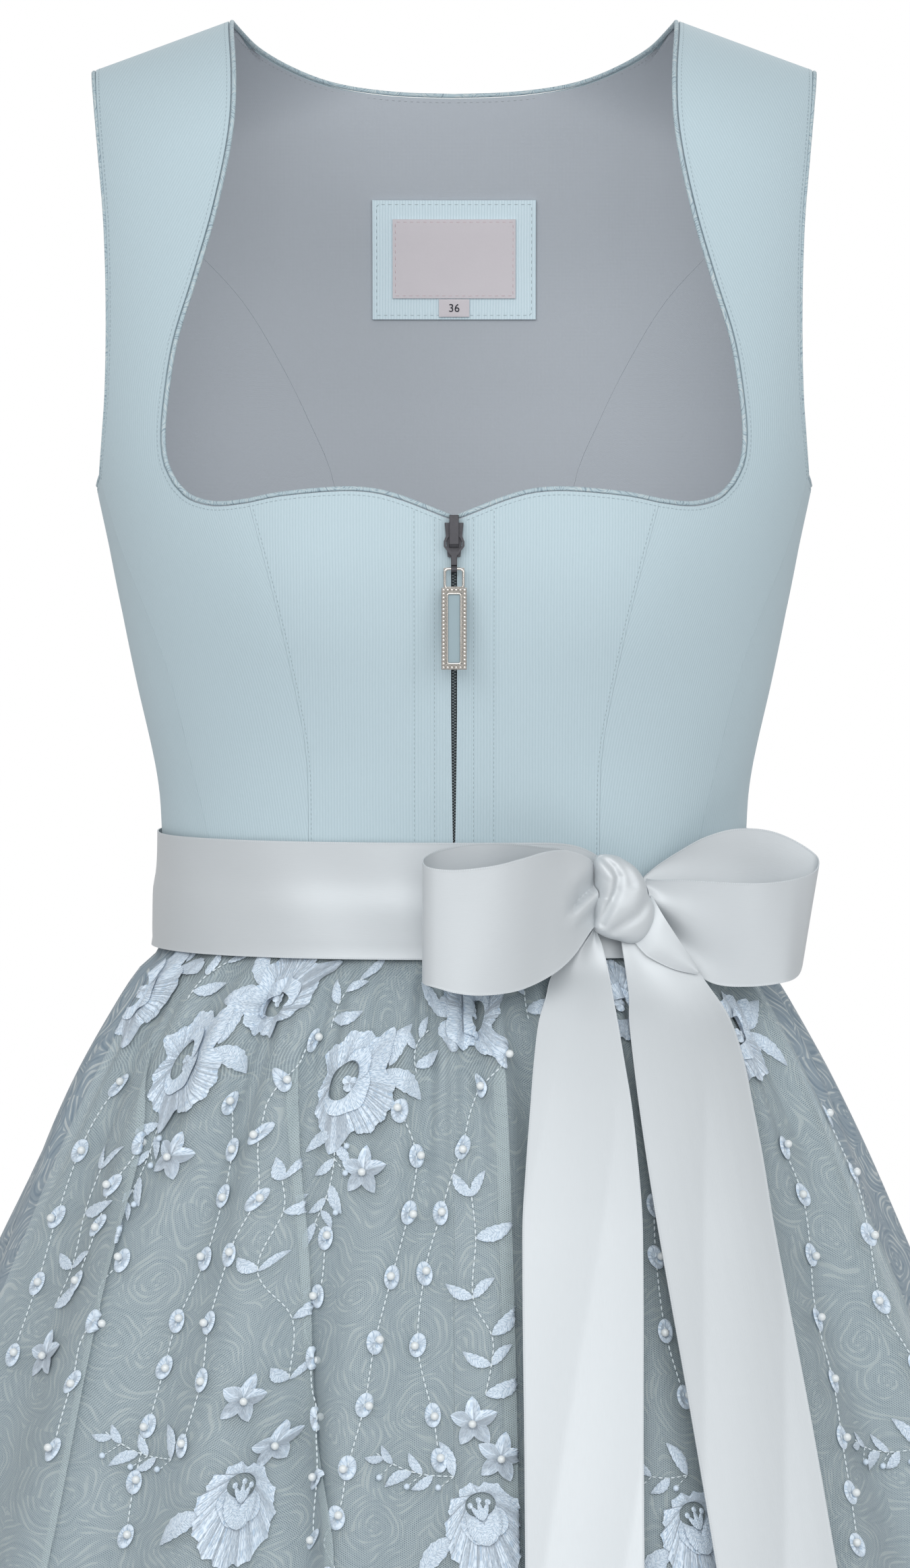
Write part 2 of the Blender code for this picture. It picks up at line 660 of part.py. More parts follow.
def add_piping(lines):
    """Piping round the neck, open at the zip, and round both armholes."""
    front = lines["neck_top"] + lines["neck_low"][1:] + lines["neck_side"][1:]
    half = front + lines["back_neck"][::-1][1:]
    points, normals = form_net([half])
    points, normals = points[0], normals[0]
    start = points[1] - points[0]
    points[0] = points[0] + start.normalized() * (ZIP_OPENING + SEAM_GAP)
    around = points + [Vector((-p.x, p.y, p.z)) for p in points[::-1][1:]]
    outward = normals + [Vector((-n.x, n.y, n.z)) for n in normals[::-1][1:]]
    add_object("piping_neck", tube_mesh(around, outward, PIPING_RADIUS, False), "piping_print")

    ring = lines["arm_front"] + lines["back_arm_high"][::-1][1:] + lines["back_arm_low"][::-1][1:-1]
    points, normals = form_net([ring])
    for name, flip in (("left", 1), ("right", -1)):
        around = [Vector((p.x * flip, p.y, p.z)) for p in points[0]]
        outward = [Vector((n.x * flip, n.y, n.z)) for n in normals[0]]
        build = tube_mesh(around, outward, PIPING_RADIUS, True)
        add_object(f"piping_armhole_{name}", build, "piping_print")


def ring_place(turn, height):
    """A point of the skirt's or waist's plain section, and the way out of it in plan."""
    if height > SKIRT_ROWS[0][0]:
        half, front, back, _ = table_smooth(height)
    else:
        half, front, back = table_at(SKIRT_ROWS, height)[:3]

    def at(angle):
        deep = front if math.cos(angle) > 0 else back
        radius = section_radius(angle, half, deep)
        return Vector((radius * math.sin(angle), -radius * math.cos(angle), height))

    step = 0.01
    along = at(turn + step) - at(turn - step)
    return at(turn), Vector((-along.y, along.x, 0.0)).normalized() * -1.0


def share_of_folds(height):
    """How far the tight gathers have opened into broad folds, 0 to 1."""
    share = (GATHERS_END - height) / (GATHERS_END - FOLDS_START)
    share = min(max(share, 0.0), 1.0)
    return share * share * (3 - 2 * share)


def skirt_fold(turn, height):
    """How far the skirt stands out of its plain section."""
    size = table_at(SKIRT_ROWS, height)[3]
    gather = math.cos(GATHERS * turn + 0.8 * math.sin(5 * turn))
    fold = -math.cos(FOLDS * (turn - FIRST_FOLD) + 0.35 * math.sin(3 * turn) + 0.3 * math.sin(7 * turn))
    fold *= 0.85 + 0.15 * math.sin(2 * turn + 0.7)
    share = share_of_folds(height)
    return size * (gather * (1 - share) + fold * share)


def apron_fold(turn, height):
    """How far the apron stands off the skirt under it."""
    size = table_at(SKIRT_ROWS, height)[4]
    gather = math.cos(GATHERS * turn + 1.7 + 0.6 * math.sin(4 * turn))
    fold = math.cos(APRON_FOLDS * turn + 0.9 * math.sin(4 * turn + 1.2))
    share = share_of_folds(height)
    return APRON_CLEARANCE + size * (1 + gather * (1 - share) + fold * share)


def add_skirt():
    """Four gathered skirt panels, two before and two behind."""
    names = ("skirt_front_left", "skirt_back_left", "skirt_back_right", "skirt_front_right")
    for quarter, name in enumerate(names):
        points, normals = [], []
        for row in SKIRT_ROWS:
            turns = [
                math.radians(90 * quarter + 90 * column / SKIRT_COLUMNS)
                for column in range(SKIRT_COLUMNS + 1)
            ]
            places = [ring_place(turn, row[0]) for turn in turns]
            normals.append([outward for _, outward in places])
            points.append([
                point + outward * skirt_fold(turn, row[0])
                for turn, (point, outward) in zip(turns, places)
            ])
        for row in points:
            for end, inner in ((0, 1), (-1, -2)):
                row[end] = row[end] + (row[inner] - row[end]).normalized() * SKIRT_SEAM
        add_object(name, wall_mesh(points, normals, SKIRT_WALL), "skirt_cloth")


def add_apron():
    """The sheer apron, on the skirt's own net, moved out."""
    points, normals = [], []
    for row in SKIRT_ROWS[APRON_FIRST_ROW:APRON_LAST_ROW + 1]:
        cells, directions = [], []
        for column in range(-APRON_REACH, APRON_REACH + 1):
            turn = math.radians(90 * column / SKIRT_COLUMNS)
            point, outward = ring_place(turn, row[0])
            standing = skirt_fold(turn, row[0]) + apron_fold(turn, row[0]) + APRON_WALL
            cells.append(point + outward * standing)
            directions.append(outward)
        points.append(cells)
        normals.append(directions)
    add_object("apron", wall_mesh(points, normals, APRON_WALL), "apron_tulle")


def add_ribbon():
    """The ribbon round the waist, over the seam of bodice, skirt and apron."""
    points, normals = [], []
    for height, off in RIBBON_ROWS:
        turns = [2 * math.pi * column / RIBBON_COLUMNS for column in range(RIBBON_COLUMNS)]
        places = [ring_place(turn, height) for turn in turns]
        points.append([point + outward * (off + RIBBON_WALL) for point, outward in places])
        normals.append([outward for _, outward in places])
    add_object("ribbon_waist", wall_mesh(points, normals, RIBBON_WALL, closed=True), "satin")


def turn_at_side(side, height):
    """The turn of the section's front where it lies a distance from the centre."""
    half, front = table_at([row[:3] for row in SKIRT_ROWS], height)
    rest = max(1 - (abs(side) / half) ** SECTION_POWER, 0.0)
    return math.atan2(side, front * rest ** (1 / SECTION_POWER))


def place_at_side(side, height, off):
    """A place that stands off the plain section and lies a distance from the centre."""
    foot_side = side
    for _ in range(4):
        point, outward = ring_place(turn_at_side(foot_side, height), height)
        place = point + outward * off
        foot_side += side - place.x
    return place, outward


def knot_frame():
    """The knot's place on the section: its foot, the way along the waist and the way out."""
    foot, outward = ring_place(turn_at_side(KNOT_SIDE, KNOT_HEIGHT), KNOT_HEIGHT)
    along = Vector((0.0, 0.0, 1.0)).cross(outward)
    return foot, along, outward


def add_bow():
    """The knot and its two open loops."""
    foot, along, outward = knot_frame()
    build = bmesh.new()
    bmesh.ops.create_cube(build, size=1.0)
    width, depth, tall = KNOT_SIZE
    for corner in build.verts:
        a, f, z = corner.co
        place = foot + along * (a * width) + outward * (KNOT_BACK + depth * (f + 0.5))
        corner.co = place + Vector((0.0, 0.0, z * tall))
    knot = add_object("bow_knot", build, "satin")
    rounding = knot.modifiers.new("Rounding", "BEVEL")
    rounding.width = KNOT_ROUNDING
    rounding.segments = 3

    for name, way in (("right", 1.0), ("left", -1.0)):
        stations = []
        for step in range(LOOP_STATIONS + 1):
            out, forward, half, rise = curve_at(BOW_LOOP, step / LOOP_STATIONS)
            out = LOOP_START + (out - LOOP_START) * LOOP_REACH[name]
            centre = foot + along * (out * way) + outward * forward
            stations.append((centre + Vector((0.0, 0.0, rise)), half))
        points, normals = [], []
        for index, (centre, half) in enumerate(stations):
            before = stations[max(index - 1, 0)][0]
            after = stations[min(index + 1, LOOP_STATIONS)][0]
            run = after - before
            facing = Vector((run.y, -run.x, 0.0)).normalized() * way
            heights = [half * (1 - 2 * c / LOOP_COLUMNS) for c in range(LOOP_COLUMNS + 1)]
            points.append([centre + Vector((0.0, 0.0, h)) for h in heights])
            normals.append([facing] * (LOOP_COLUMNS + 1))
        add_object(f"bow_loop_{name}", wall_mesh(points, normals, RIBBON_WALL), "satin")


def tail_off(height):
    """How far a tail's inside stands off the plain section, over ribbon, skirt and apron."""
    over_ribbon = RIBBON_ROWS[-1][1] + RIBBON_WALL + TAIL_CLEARANCE
    skirt_size, apron_size = table_at(SKIRT_ROWS, height)[3:5]
    over_apron = skirt_size + APRON_CLEARANCE + 2 * apron_size + APRON_WALL + TAIL_CLEARANCE
    return max(over_ribbon, over_apron)


def add_tails():
    """The ribbon's two free ends, hanging over the apron with slanted cuts."""
    for name, rows, slant in (("left", LEFT_TAIL, 1.0), ("right", RIGHT_TAIL, -1.0)):
        points, normals = [], []
        for height, near, far in rows:
            cells, directions = [], []
            for column in range(TAIL_COLUMNS + 1):
                share = column / TAIL_COLUMNS
                level = height
                if height == rows[-1][0]:
                    level += slant * TAIL_SLANT * (share - 0.5)
                side = near + (far - near) * share
                place, outward = place_at_side(side, level, tail_off(level) + RIBBON_WALL)
                cells.append(place)
                directions.append(outward)
            points.append(cells)
            normals.append(directions)
        add_object(f"bow_tail_{name}", wall_mesh(points, normals, RIBBON_WALL), "satin")


def front_face(height):
    """The depth of the bodice's outer face at the centre front."""
    return form_point(*on_form(0.0, height)).y


def prism(outline, axis, low, high):
    """A closed prism on an outline in the plane across an axis, 0 for X and 1 for Y."""
    build = bmesh.new()
    ends = []
    for level in (low, high):
        ring = []
        for a, z in outline:
            place = (level, a, z) if axis == 0 else (a, level, z)
            ring.append(build.verts.new(place))
        ends.append(ring)
    build.faces.new(ends[0])
    build.faces.new(ends[1])
    count = len(outline)
    for index in range(count):
        other = (index + 1) % count
        build.faces.new((ends[0][index], ends[0][other], ends[1][other], ends[1][index]))
    bmesh.ops.recalc_face_normals(build, faces=build.faces[:])
    return build


def box_outline(half, top, bottom):
    """A level rectangle's corners."""
    return ((-half, top), (half, top), (half, bottom), (-half, bottom))


def joined(name, first, finish, added=(), cut=(), location=(0.0, 0.0, 0.0)):
    """One solid from prisms joined to the first and prisms cut out of it."""
    piece = add_object(name, first, finish)
    for operation, builds in (("UNION", added), ("DIFFERENCE", cut)):
        for index, build in enumerate(builds):
            helper = add_object(f"{name}_{operation.lower()}_{index}", build, finish)
            step = piece.modifiers.new(f"{operation} {index}", "BOOLEAN")
            step.operation = operation
            step.solver = "EXACT"
            step.object = helper
            bpy.context.view_layer.update()
            shaped = piece.evaluated_get(bpy.context.evaluated_depsgraph_get())
            mesh = bpy.data.meshes.new_from_object(shaped)
            piece.modifiers.clear()
            piece.data = mesh
            bpy.data.objects.remove(helper, do_unlink=True)
    piece.data.name = name
    piece.data.transform(Matrix.Translation(-Vector(location)))
    piece.location = location
    return piece


def zip_places():
    """The slider's front face and the two hinge axes, as depths."""
    heights = [SLIDER_TOP + (SLIDER_BOTTOM - SLIDER_TOP) * step / 8 for step in range(9)]
    outmost = min(form_point(*on_form(SLIDER_HALF_TOP, height)).y for height in heights)
    back = outmost - SLIDER_GAP
    front = back - SLIDER_WALL
    return back, front, front - PULLER_AXIS_CLEAR


def add_zip():
    """Teeth and tape in the centre front opening."""
    points = []
    rows = LOW_ROWS
    for row in range(rows + 1):
        height = ZIP_BOTTOM + (ZIP_TOP - ZIP_BOTTOM) * row / rows
        ring = []
        tape_in = CLOTH_WALL + TAPE_GAP
        profile = (
            (-CHAIN_HALF, CHAIN_RECESS), (CHAIN_HALF, CHAIN_RECESS), (CHAIN_HALF, tape_in),
            (TAPE_HALF, tape_in), (TAPE_HALF, tape_in + TAPE_WALL),
            (-TAPE_HALF, tape_in + TAPE_WALL), (-TAPE_HALF, tape_in), (-CHAIN_HALF, tape_in),
        )
        for side, inward in profile:
            place = on_form(abs(side), height)
            point, normal = form_point(*place), form_normal(*place)
            point = point - normal * inward
            ring.append(Vector((side, point.y, point.z)))
        points.append(ring)
    build = bmesh.new()
    rings = [[build.verts.new(p) for p in ring] for ring in points]
    count = len(rings[0])
    for ring, following in zip(rings, rings[1:]):
        for index in range(count):
            other = (index + 1) % count
            build.faces.new((ring[index], ring[other], following[other], following[index]))
    build.faces.new(rings[0])
    build.faces.new(rings[-1])
    add_object("zip_chain", build, "zip_metal")


def add_slider():
    """The slider: its front plate, the arched bridge, and the wedge to its back plate."""
    back, front, _ = zip_places()
    plate = (
        (-BRIDGE_HALF, SLIDER_TOP), (BRIDGE_HALF, SLIDER_TOP), (BRIDGE_HALF, SLIDER_SHOULDER),
        (SLIDER_HALF_TOP, SLIDER_SHOULDER), (SLIDER_HALF_BOTTOM, SLIDER_BOTTOM),
        (-SLIDER_HALF_BOTTOM, SLIDER_BOTTOM), (-SLIDER_HALF_TOP, SLIDER_SHOULDER),
        (-BRIDGE_HALF, SLIDER_SHOULDER),
    )
    root = front + SLIDER_WALL / 2
    arch = front - BRIDGE_CLEAR
    crown = arch - BRIDGE_WALL
    bridge = (
        (root, SLIDER_TOP - 0.0002), (crown + 0.0006, SLIDER_TOP - 0.0002),
        (crown, SLIDER_TOP - 0.0016), (crown, BRIDGE_END + 0.0014),
        (crown + 0.0008, BRIDGE_END), (root, BRIDGE_END), (root, BRIDGE_END + 0.0011),
        (arch, BRIDGE_END + 0.0011), (arch, SLIDER_TOP - 0.0016), (root, SLIDER_TOP - 0.0016),
    )
    inside = front_face(WEDGE_TOP) + CLOTH_WALL + UNDER_RIBBON_GAP + 0.0002
    behind = inside + BACK_PLATE_WALL
    wedge = prism(box_outline(WEDGE_HALF, WEDGE_TOP, WEDGE_END), 1, back - 0.0005, behind - 0.0003)
    rear = prism(box_outline(BACK_PLATE_HALF, WEDGE_TOP, WEDGE_END), 1, inside, behind)
    joined(
        "zip_slider", prism(plate, 1, front, back), "zip_metal",
        added=(prism(bridge, 0, -BRIDGE_HALF, BRIDGE_HALF), wedge, rear),
    )


def add_puller():
    """The puller: a six-sided ring through the bridge, a neck and an eye for the pendant."""
    _, _, axis = zip_places()
    right = [(half, PULLER_AXIS_HEIGHT + down) for down, half in PULLER_RING]
    outline = right + [(-half, z) for half, z in right[::-1]]
    right = [(half, PULLER_AXIS_HEIGHT + down) for down, half in PULLER_HOLE]
    hole = right + [(-half, z) for half, z in right[::-1]]
    low, high = axis - PULLER_WALL / 2, axis + PULLER_WALL / 2
    neck_top = PULLER_AXIS_HEIGHT + PULLER_RING[-1][0] + 0.0008
    neck_low = PENDANT_AXIS_HEIGHT + EYE_RADIUS * 0.8
    neck = prism(box_outline(NECK_HALF, neck_top, neck_low), 1, low, high)
    turns = [2 * math.pi * (step + 0.5) / EYE_SIDES for step in range(EYE_SIDES)]
    eye, bore = (
        [(axis + r * math.cos(t), PENDANT_AXIS_HEIGHT + r * math.sin(t)) for t in turns]
        for r in (EYE_RADIUS, EYE_HOLE)
    )
    joined(
        "zip_puller", prism(outline, 1, low, high), "zip_metal",
        added=(neck, prism(eye, 0, -EYE_HALF, EYE_HALF)),
        cut=(prism(hole, 1, low - 0.001, high + 0.001), prism(bore, 0, -0.003, 0.003)),
        location=(0.0, axis, PULLER_AXIS_HEIGHT),
    )


def add_pendant():
    """The pendant: a wire loop on a long frame, and the flat inlay that the frame holds."""
    _, _, axis = zip_places()
    pivot = (0.0, axis, PENDANT_AXIS_HEIGHT)
    top = PENDANT_AXIS_HEIGHT + LOOP_BAR / 2
    low, high = axis - LOOP_BAR / 2, axis + LOOP_BAR / 2
    loop = prism(box_outline(LOOP_HALF, top, PENDANT_TOP - 0.001), 1, low, high)
    window = box_outline(LOOP_HALF - LOOP_BAR, top - LOOP_BAR, PENDANT_TOP + 0.0004)
    plate = prism(
        box_outline(PENDANT_HALF, PENDANT_TOP, PENDANT_BOTTOM), 1,
        axis - PENDANT_WALL / 2, axis + PENDANT_WALL / 2,
    )
    room = (
        PENDANT_HALF - PENDANT_BORDER, PENDANT_TOP - PENDANT_BORDER,
        PENDANT_BOTTOM + PENDANT_BORDER,
    )
    joined(
        "pendant_frame", plate, "silver", added=(loop,),
        cut=(prism(window, 1, axis - 0.003, axis + 0.003),
             prism(box_outline(*room), 1, axis - 0.003, axis + 0.003)),
        location=pivot,
    )
    inlay = box_outline(room[0] - SEAM_GAP, room[1] - SEAM_GAP, room[2] + SEAM_GAP)
    joined(
        "pendant_inlay", prism(inlay, 1, axis - INLAY_WALL / 2, axis + INLAY_WALL / 2), "inlay",
        location=pivot,
    )


def add_inside_label(name, size, off, columns, rows, finish):
    """A flat piece on the lining of the back, made from the back's own points."""
    half, top, bottom, wall = size
    points, normals = [], []
    for row in range(rows + 1):
        height = bottom + (top - bottom) * row / rows
        cells, directions = [], []
        for column in range(columns + 1):
            side = -half + 2 * half * column / columns
            place = on_form(abs(side), height, front=False)
            point, normal = form_point(*place), form_normal(*place)
            if side < 0:
                point.x, normal.x = -point.x, -normal.x
            cells.append(point - normal * off)
            directions.append(normal)
        points.append(cells)
        normals.append(directions)
    add_object(name, wall_mesh(points, normals, wall), finish)


def add_labels():
    """The sewn patch, the bare woven label on it and the size tag under it."""
    patch_off = CLOTH_WALL + PATCH_GAP
    label_off = patch_off + PATCH[3] + SEAM_GAP
    add_inside_label("label_patch", PATCH, patch_off, 8, 6, "bodice_cord")
    add_inside_label("label_woven", LABEL, label_off, 6, 4, "label_woven")
    add_inside_label("label_size_tag", TAG, label_off, 2, 2, "label_woven")


def main():
    """Builds the whole garment."""
    clear_scene()
    lines = seam_lines()
    add_bodice(lines)
    add_piping(lines)
    add_skirt()
    add_apron()
    add_ribbon()
    add_bow()
    add_tails()
    add_zip()
    add_slider()
    add_puller()
    add_pendant()
    add_labels()
    for piece in bpy.data.objects:
        piece.data.shade_smooth()
        piece.data.set_sharp_from_angle(angle=math.radians(50))


main()
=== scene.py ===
"""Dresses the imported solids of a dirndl: corded bodice, printed skirt, lace apron and satin bow.

Metres, +Z up, the front faces -Y, the origin at the shoulder seams. A turn runs round the body from
the front towards the wearer's left, and a way down runs down the cloth from the shoulder line.
"""
import math

import bmesh
import bpy
import numpy as np
from bpy.props import FloatProperty, FloatVectorProperty, IntProperty, PointerProperty
from mathutils import Matrix, Vector


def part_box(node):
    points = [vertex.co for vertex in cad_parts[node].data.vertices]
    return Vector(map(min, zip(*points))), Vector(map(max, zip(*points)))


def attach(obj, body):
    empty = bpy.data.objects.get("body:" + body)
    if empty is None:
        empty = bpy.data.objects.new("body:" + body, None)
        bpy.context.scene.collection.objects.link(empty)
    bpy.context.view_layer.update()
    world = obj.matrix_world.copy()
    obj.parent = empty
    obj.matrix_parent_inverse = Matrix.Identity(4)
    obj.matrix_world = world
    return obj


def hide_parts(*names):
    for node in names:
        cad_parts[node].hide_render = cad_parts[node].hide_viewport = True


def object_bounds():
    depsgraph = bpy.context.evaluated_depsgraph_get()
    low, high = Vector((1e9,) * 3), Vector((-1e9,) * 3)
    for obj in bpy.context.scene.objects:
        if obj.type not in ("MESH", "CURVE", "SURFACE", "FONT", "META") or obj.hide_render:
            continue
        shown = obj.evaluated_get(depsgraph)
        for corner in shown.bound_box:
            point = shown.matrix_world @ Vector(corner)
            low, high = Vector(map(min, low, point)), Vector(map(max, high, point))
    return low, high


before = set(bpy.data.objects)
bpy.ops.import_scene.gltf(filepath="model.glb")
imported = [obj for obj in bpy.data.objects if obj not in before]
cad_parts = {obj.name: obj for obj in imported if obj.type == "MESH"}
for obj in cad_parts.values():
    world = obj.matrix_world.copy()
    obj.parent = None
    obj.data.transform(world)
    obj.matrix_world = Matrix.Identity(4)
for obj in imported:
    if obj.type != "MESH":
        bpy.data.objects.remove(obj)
SOLIDS_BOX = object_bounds()

bl_info = {
    "name": "Dirndl",
    "version": (1, 0, 0),
    "blender": (4, 5, 0),
    "location": "3D View > Sidebar > Dirndl",
    "description": "Cloth, lace, satin, stitches and metal of a dirndl on its packed solids",
    "category": "Object",
}

# The bodice's form, as in the part's source
CLOTH_WALL, SKIRT_WALL, RIBBON_WALL = 0.0016, 0.0014, 0.0010
PIPING_RADIUS, SEAM_GAP, ZIP_OPENING = 0.0010, 0.0003, 0.0013
WAIST_HEIGHT = -0.3680
SECTION_POWER = 2.3
FORM = np.array((  # height, half width, depth in front, depth behind, middle of the depth
    (-0.3680, 0.1285, 0.0905, 0.0880, 0.0000),
    (-0.3450, 0.1290, 0.0920, 0.0890, 0.0000),
    (-0.3275, 0.1300, 0.0945, 0.0900, 0.0000),
    (-0.3090, 0.1332, 0.0980, 0.0915, 0.0000),
    (-0.2810, 0.1395, 0.1055, 0.0940, 0.0000),
    (-0.2510, 0.1457, 0.1140, 0.0970, 0.0000),
    (-0.2190, 0.1520, 0.1190, 0.1010, 0.0000),
    (-0.1840, 0.1590, 0.1150, 0.1060, 0.0000),
    (-0.1500, 0.1630, 0.1060, 0.1100, 0.0020),
    (-0.1000, 0.1660, 0.0920, 0.1110, 0.0050),
    (-0.0500, 0.1680, 0.0780, 0.1000, 0.0090),
    (0.0000, 0.1700, 0.0680, 0.0850, 0.0120),
    (0.0500, 0.1700, 0.0600, 0.0760, 0.0120),
))
BUST_RISE, BUST_SIDE, BUST_SPREAD = 0.010, 0.072, 0.045
BUST_HEIGHT, BUST_TALL = -0.232, 0.050
SHOULDER_ROUND = 0.050
SHOULDER_NECK = (0.0980, 0.0113)
SHOULDER_ARM = (0.1590, -0.0109)
FRONT_PRINCESS = (
    (0.0625, WAIST_HEIGHT), (0.0625, -0.3450), (0.0632, -0.3099), (0.0670, -0.2844),
    (0.0765, -0.2400), (0.0875, -0.1985),
)
FRONT_NECK_TOP = (
    (0.0000, -0.2060), (0.0111, -0.2015), (0.0217, -0.1974), (0.0336, -0.1942),
    (0.0479, -0.1934), (0.0740, -0.1957), (0.0875, -0.1985),
)
FRONT_NECK_LOW = (
    (0.0875, -0.1985), (0.0981, -0.1999), (0.1054, -0.1996), (0.1139, -0.1968),
    (0.1195, -0.1914),
)
FRONT_NECK_SIDE = (
    (0.1195, -0.1914), (0.1233, -0.1844), (0.1250, -0.1755), (0.1246, -0.1613),
    (0.1202, -0.1316), (0.1119, -0.1045), (0.1030, -0.0734), (0.0963, -0.0395),
    (0.0955, -0.0150), SHOULDER_NECK,
)
SIDE_SEAM = (
    (0.1012, WAIST_HEIGHT), (0.1060, -0.3465), (0.1127, -0.3182), (0.1233, -0.2742),
    (0.1318, -0.2507), (0.1450, -0.2190), (0.1545, -0.1885),
)
ARMHOLE_FRONT = (
    (0.1545, -0.1885), (0.1530, -0.1740), (0.1513, -0.1523), (0.1508, -0.1184),
    (0.1520, -0.0809), (0.1548, -0.0499), SHOULDER_ARM,
)
BACK_PRINCESS = (
    (0.0435, WAIST_HEIGHT), (0.0440, -0.3200), (0.0460, -0.2600), (0.0552, -0.1926),
    (0.0672, -0.1635), (0.0794, -0.1390), (0.0962, -0.1115), (0.1142, -0.0915),
    (0.1300, -0.0775), (0.1480, -0.0640),
)
ARMHOLE_GIRTH = 0.155
ARMHOLE_BACK_LOW = (
    (78.1, -0.1885), (84.0, -0.1930), (94.0, -0.1915), (104.0, -0.1780),
    (110.0, -0.1550), (113.0, -0.1250), (113.5, -0.0950), (112.0, -0.0700), (110.9, -0.0640),
)
ARMHOLE_BACK_HIGH = ((0.1480, -0.0640), (0.1505, -0.0480), (0.1545, -0.0280), SHOULDER_ARM)
BACK_NECK = (
    (0.0000, -0.0174), (0.0284, -0.0163), (0.0531, -0.0127), (0.0706, -0.0070),
    (0.0876, 0.0018), SHOULDER_NECK,
)
# Steps of the visible cloth: finer than the solids'
LOW_ROWS, STRAP_ROWS, BACK_TOP_ROWS = 44, 52, 22
CENTRE_COLUMNS, NECK_LOW_COLUMNS, STRAP_COLUMNS = 20, 12, 14
BACK_SIDE_COLUMNS, BACK_NECK_COLUMNS = 24, 30
RIB_LEAN = (  # height, how far the cords of the front sides lean outward going up, in degrees
    (-0.368, 5.0), (-0.300, 12.0), (-0.220, 25.0), (-0.170, 0.0), (-0.120, -26.0), (0.020, -30.0),
)
LEAN_HEIGHTS = np.linspace(-0.37, 0.03, 161)
LEAN_SHIFTS = np.concatenate(([0.0], np.cumsum(
    np.tan(np.radians(np.interp(LEAN_HEIGHTS[1:], *np.transpose(RIB_LEAN)))) * np.diff(LEAN_HEIGHTS)
)))
# How far the cloth is cut back at plain seams, at piped edges and at the zip's lower end
SEAM_STEP, ZIP_LOW_STEP = 0.00005, 0.00022
PIPED_STEP = PIPING_RADIUS + SEAM_GAP + 0.00012
# Rows of stitches beside the zip, and beside the seams and the neck's back
ZIP_STITCH_SIDES, PRINCESS_STITCH_SIDE, BACK_STITCH_EDGE = (0.0083, 0.0170), 0.0013, 0.0026
LINING_STITCH, LINING_STITCH_GAP = 0.0016, 0.0012

# The skirt and the apron, as in the part's source
SKIRT_ROWS = np.array((  # height, half width, depth in front, depth behind, skirt fold, apron fold
    (-1.0200, 0.3460, 0.2810, 0.3000, 0.0102, 0.0055),
    (-0.9850, 0.3380, 0.2740, 0.2920, 0.0100, 0.0054),
    (-0.7400, 0.2720, 0.2130, 0.2270, 0.0085, 0.0046),
    (-0.6000, 0.2240, 0.1720, 0.1830, 0.0070, 0.0038),
    (-0.5050, 0.1850, 0.1400, 0.1480, 0.0056, 0.0030),
    (-0.4550, 0.1630, 0.1220, 0.1270, 0.0042, 0.0023),
    (-0.4200, 0.1455, 0.1075, 0.1090, 0.0027, 0.0017),
    (-0.4060, 0.1370, 0.1000, 0.0990, 0.0018, 0.0012),
    (-0.3965, 0.1285, 0.0915, 0.0900, 0.0009, 0.0006),
    (-0.3870, 0.1278, 0.0905, 0.0885, 0.0006, 0.0004),
    (-0.3760, 0.1280, 0.0905, 0.0880, 0.0004, 0.0003),
    (-0.3683, 0.1285, 0.0905, 0.0880, 0.0002, 0.0002),
))
SKIRT_TOP, SKIRT_HEM = -0.3683, -1.0200
APRON_TOP, APRON_HEM, APRON_REACH = -0.3760, -0.9850, math.radians(70.3)
GATHERS, FOLDS, APRON_FOLDS = 32, 18, 22
FIRST_FOLD = math.radians(-24)
GATHERS_END, FOLDS_START = -0.40, -0.55
APRON_CLEARANCE, APRON_WALL = 0.0004, 0.0012
CLOTH_GIRTH = 0.205
# Forms of the visible skirt alone: fine gathers, its swell at the hips and one deep fold
SKIRT_FINE_GATHER, APRON_FINE_GATHER = 0.0007, 0.0005
SWELL_RIGHT, SWELL_LEFT, SWELL_HEIGHT, SWELL_TALL = 0.0042, 0.0016, -0.52, 0.085
VALLEY_DEPTH, VALLEY_WIDTH, VALLEY_GIRTH = 0.0090, 0.0074, 0.19
VALLEY_TURNS = ((-1.0, -0.63, -0.58, -0.54), (-13.0, -19.1, -21.2, -23.1))
# Columns and rows of the visible cloth
SKIRT_GRID, APRON_GRID, RIBBON_GRID, LOOP_GRID = (132, 86), (560, 150), (360, 16), (40, 190)
TAIL_GRID, FOLD_GRID, TAPE_GRID, LABEL_GRID = (36, 170), (24, 40), (12, 60), (30, 22)

# Pleats of the apron that lie over to one side: where the free edge is, in degrees by height,
# how far the cloth is carried over, how wide the pleat's root is and how high it stands
APRON_PLEATS = (
    {"edge": ((-0.400, -33.0), (-0.444, -30.3), (-0.513, -23.9), (-0.581, -19.8),
              (-0.635, -15.0), (-0.800, -12.0), (-0.985, -10.5)),
     "carry": 0.017, "root": 0.0075, "stand": 0.0030, "from": -0.402},
    {"edge": ((-0.396, 11.4), (-0.416, 10.8), (-0.485, 10.1), (-0.581, 9.0),
              (-0.635, 8.5), (-0.800, 8.0), (-0.985, 7.5)),
     "carry": 0.020, "root": 0.0085, "stand": 0.0028, "from": -0.398},
    {"edge": ((-0.396, -68.5), (-0.406, -67.0), (-0.447, -57.0), (-0.520, -52.0),
              (-0.635, -48.5), (-0.985, -45.0)),
     "carry": 0.014, "root": 0.0062, "stand": 0.0026, "from": -0.400},
    {"edge": ((-0.396, 52.0), (-0.450, 46.0), (-0.540, 42.5), (-0.635, 40.5), (-0.985, 38.0)),
     "carry": 0.014, "root": 0.0062, "stand": 0.0026, "from": -0.402},
)

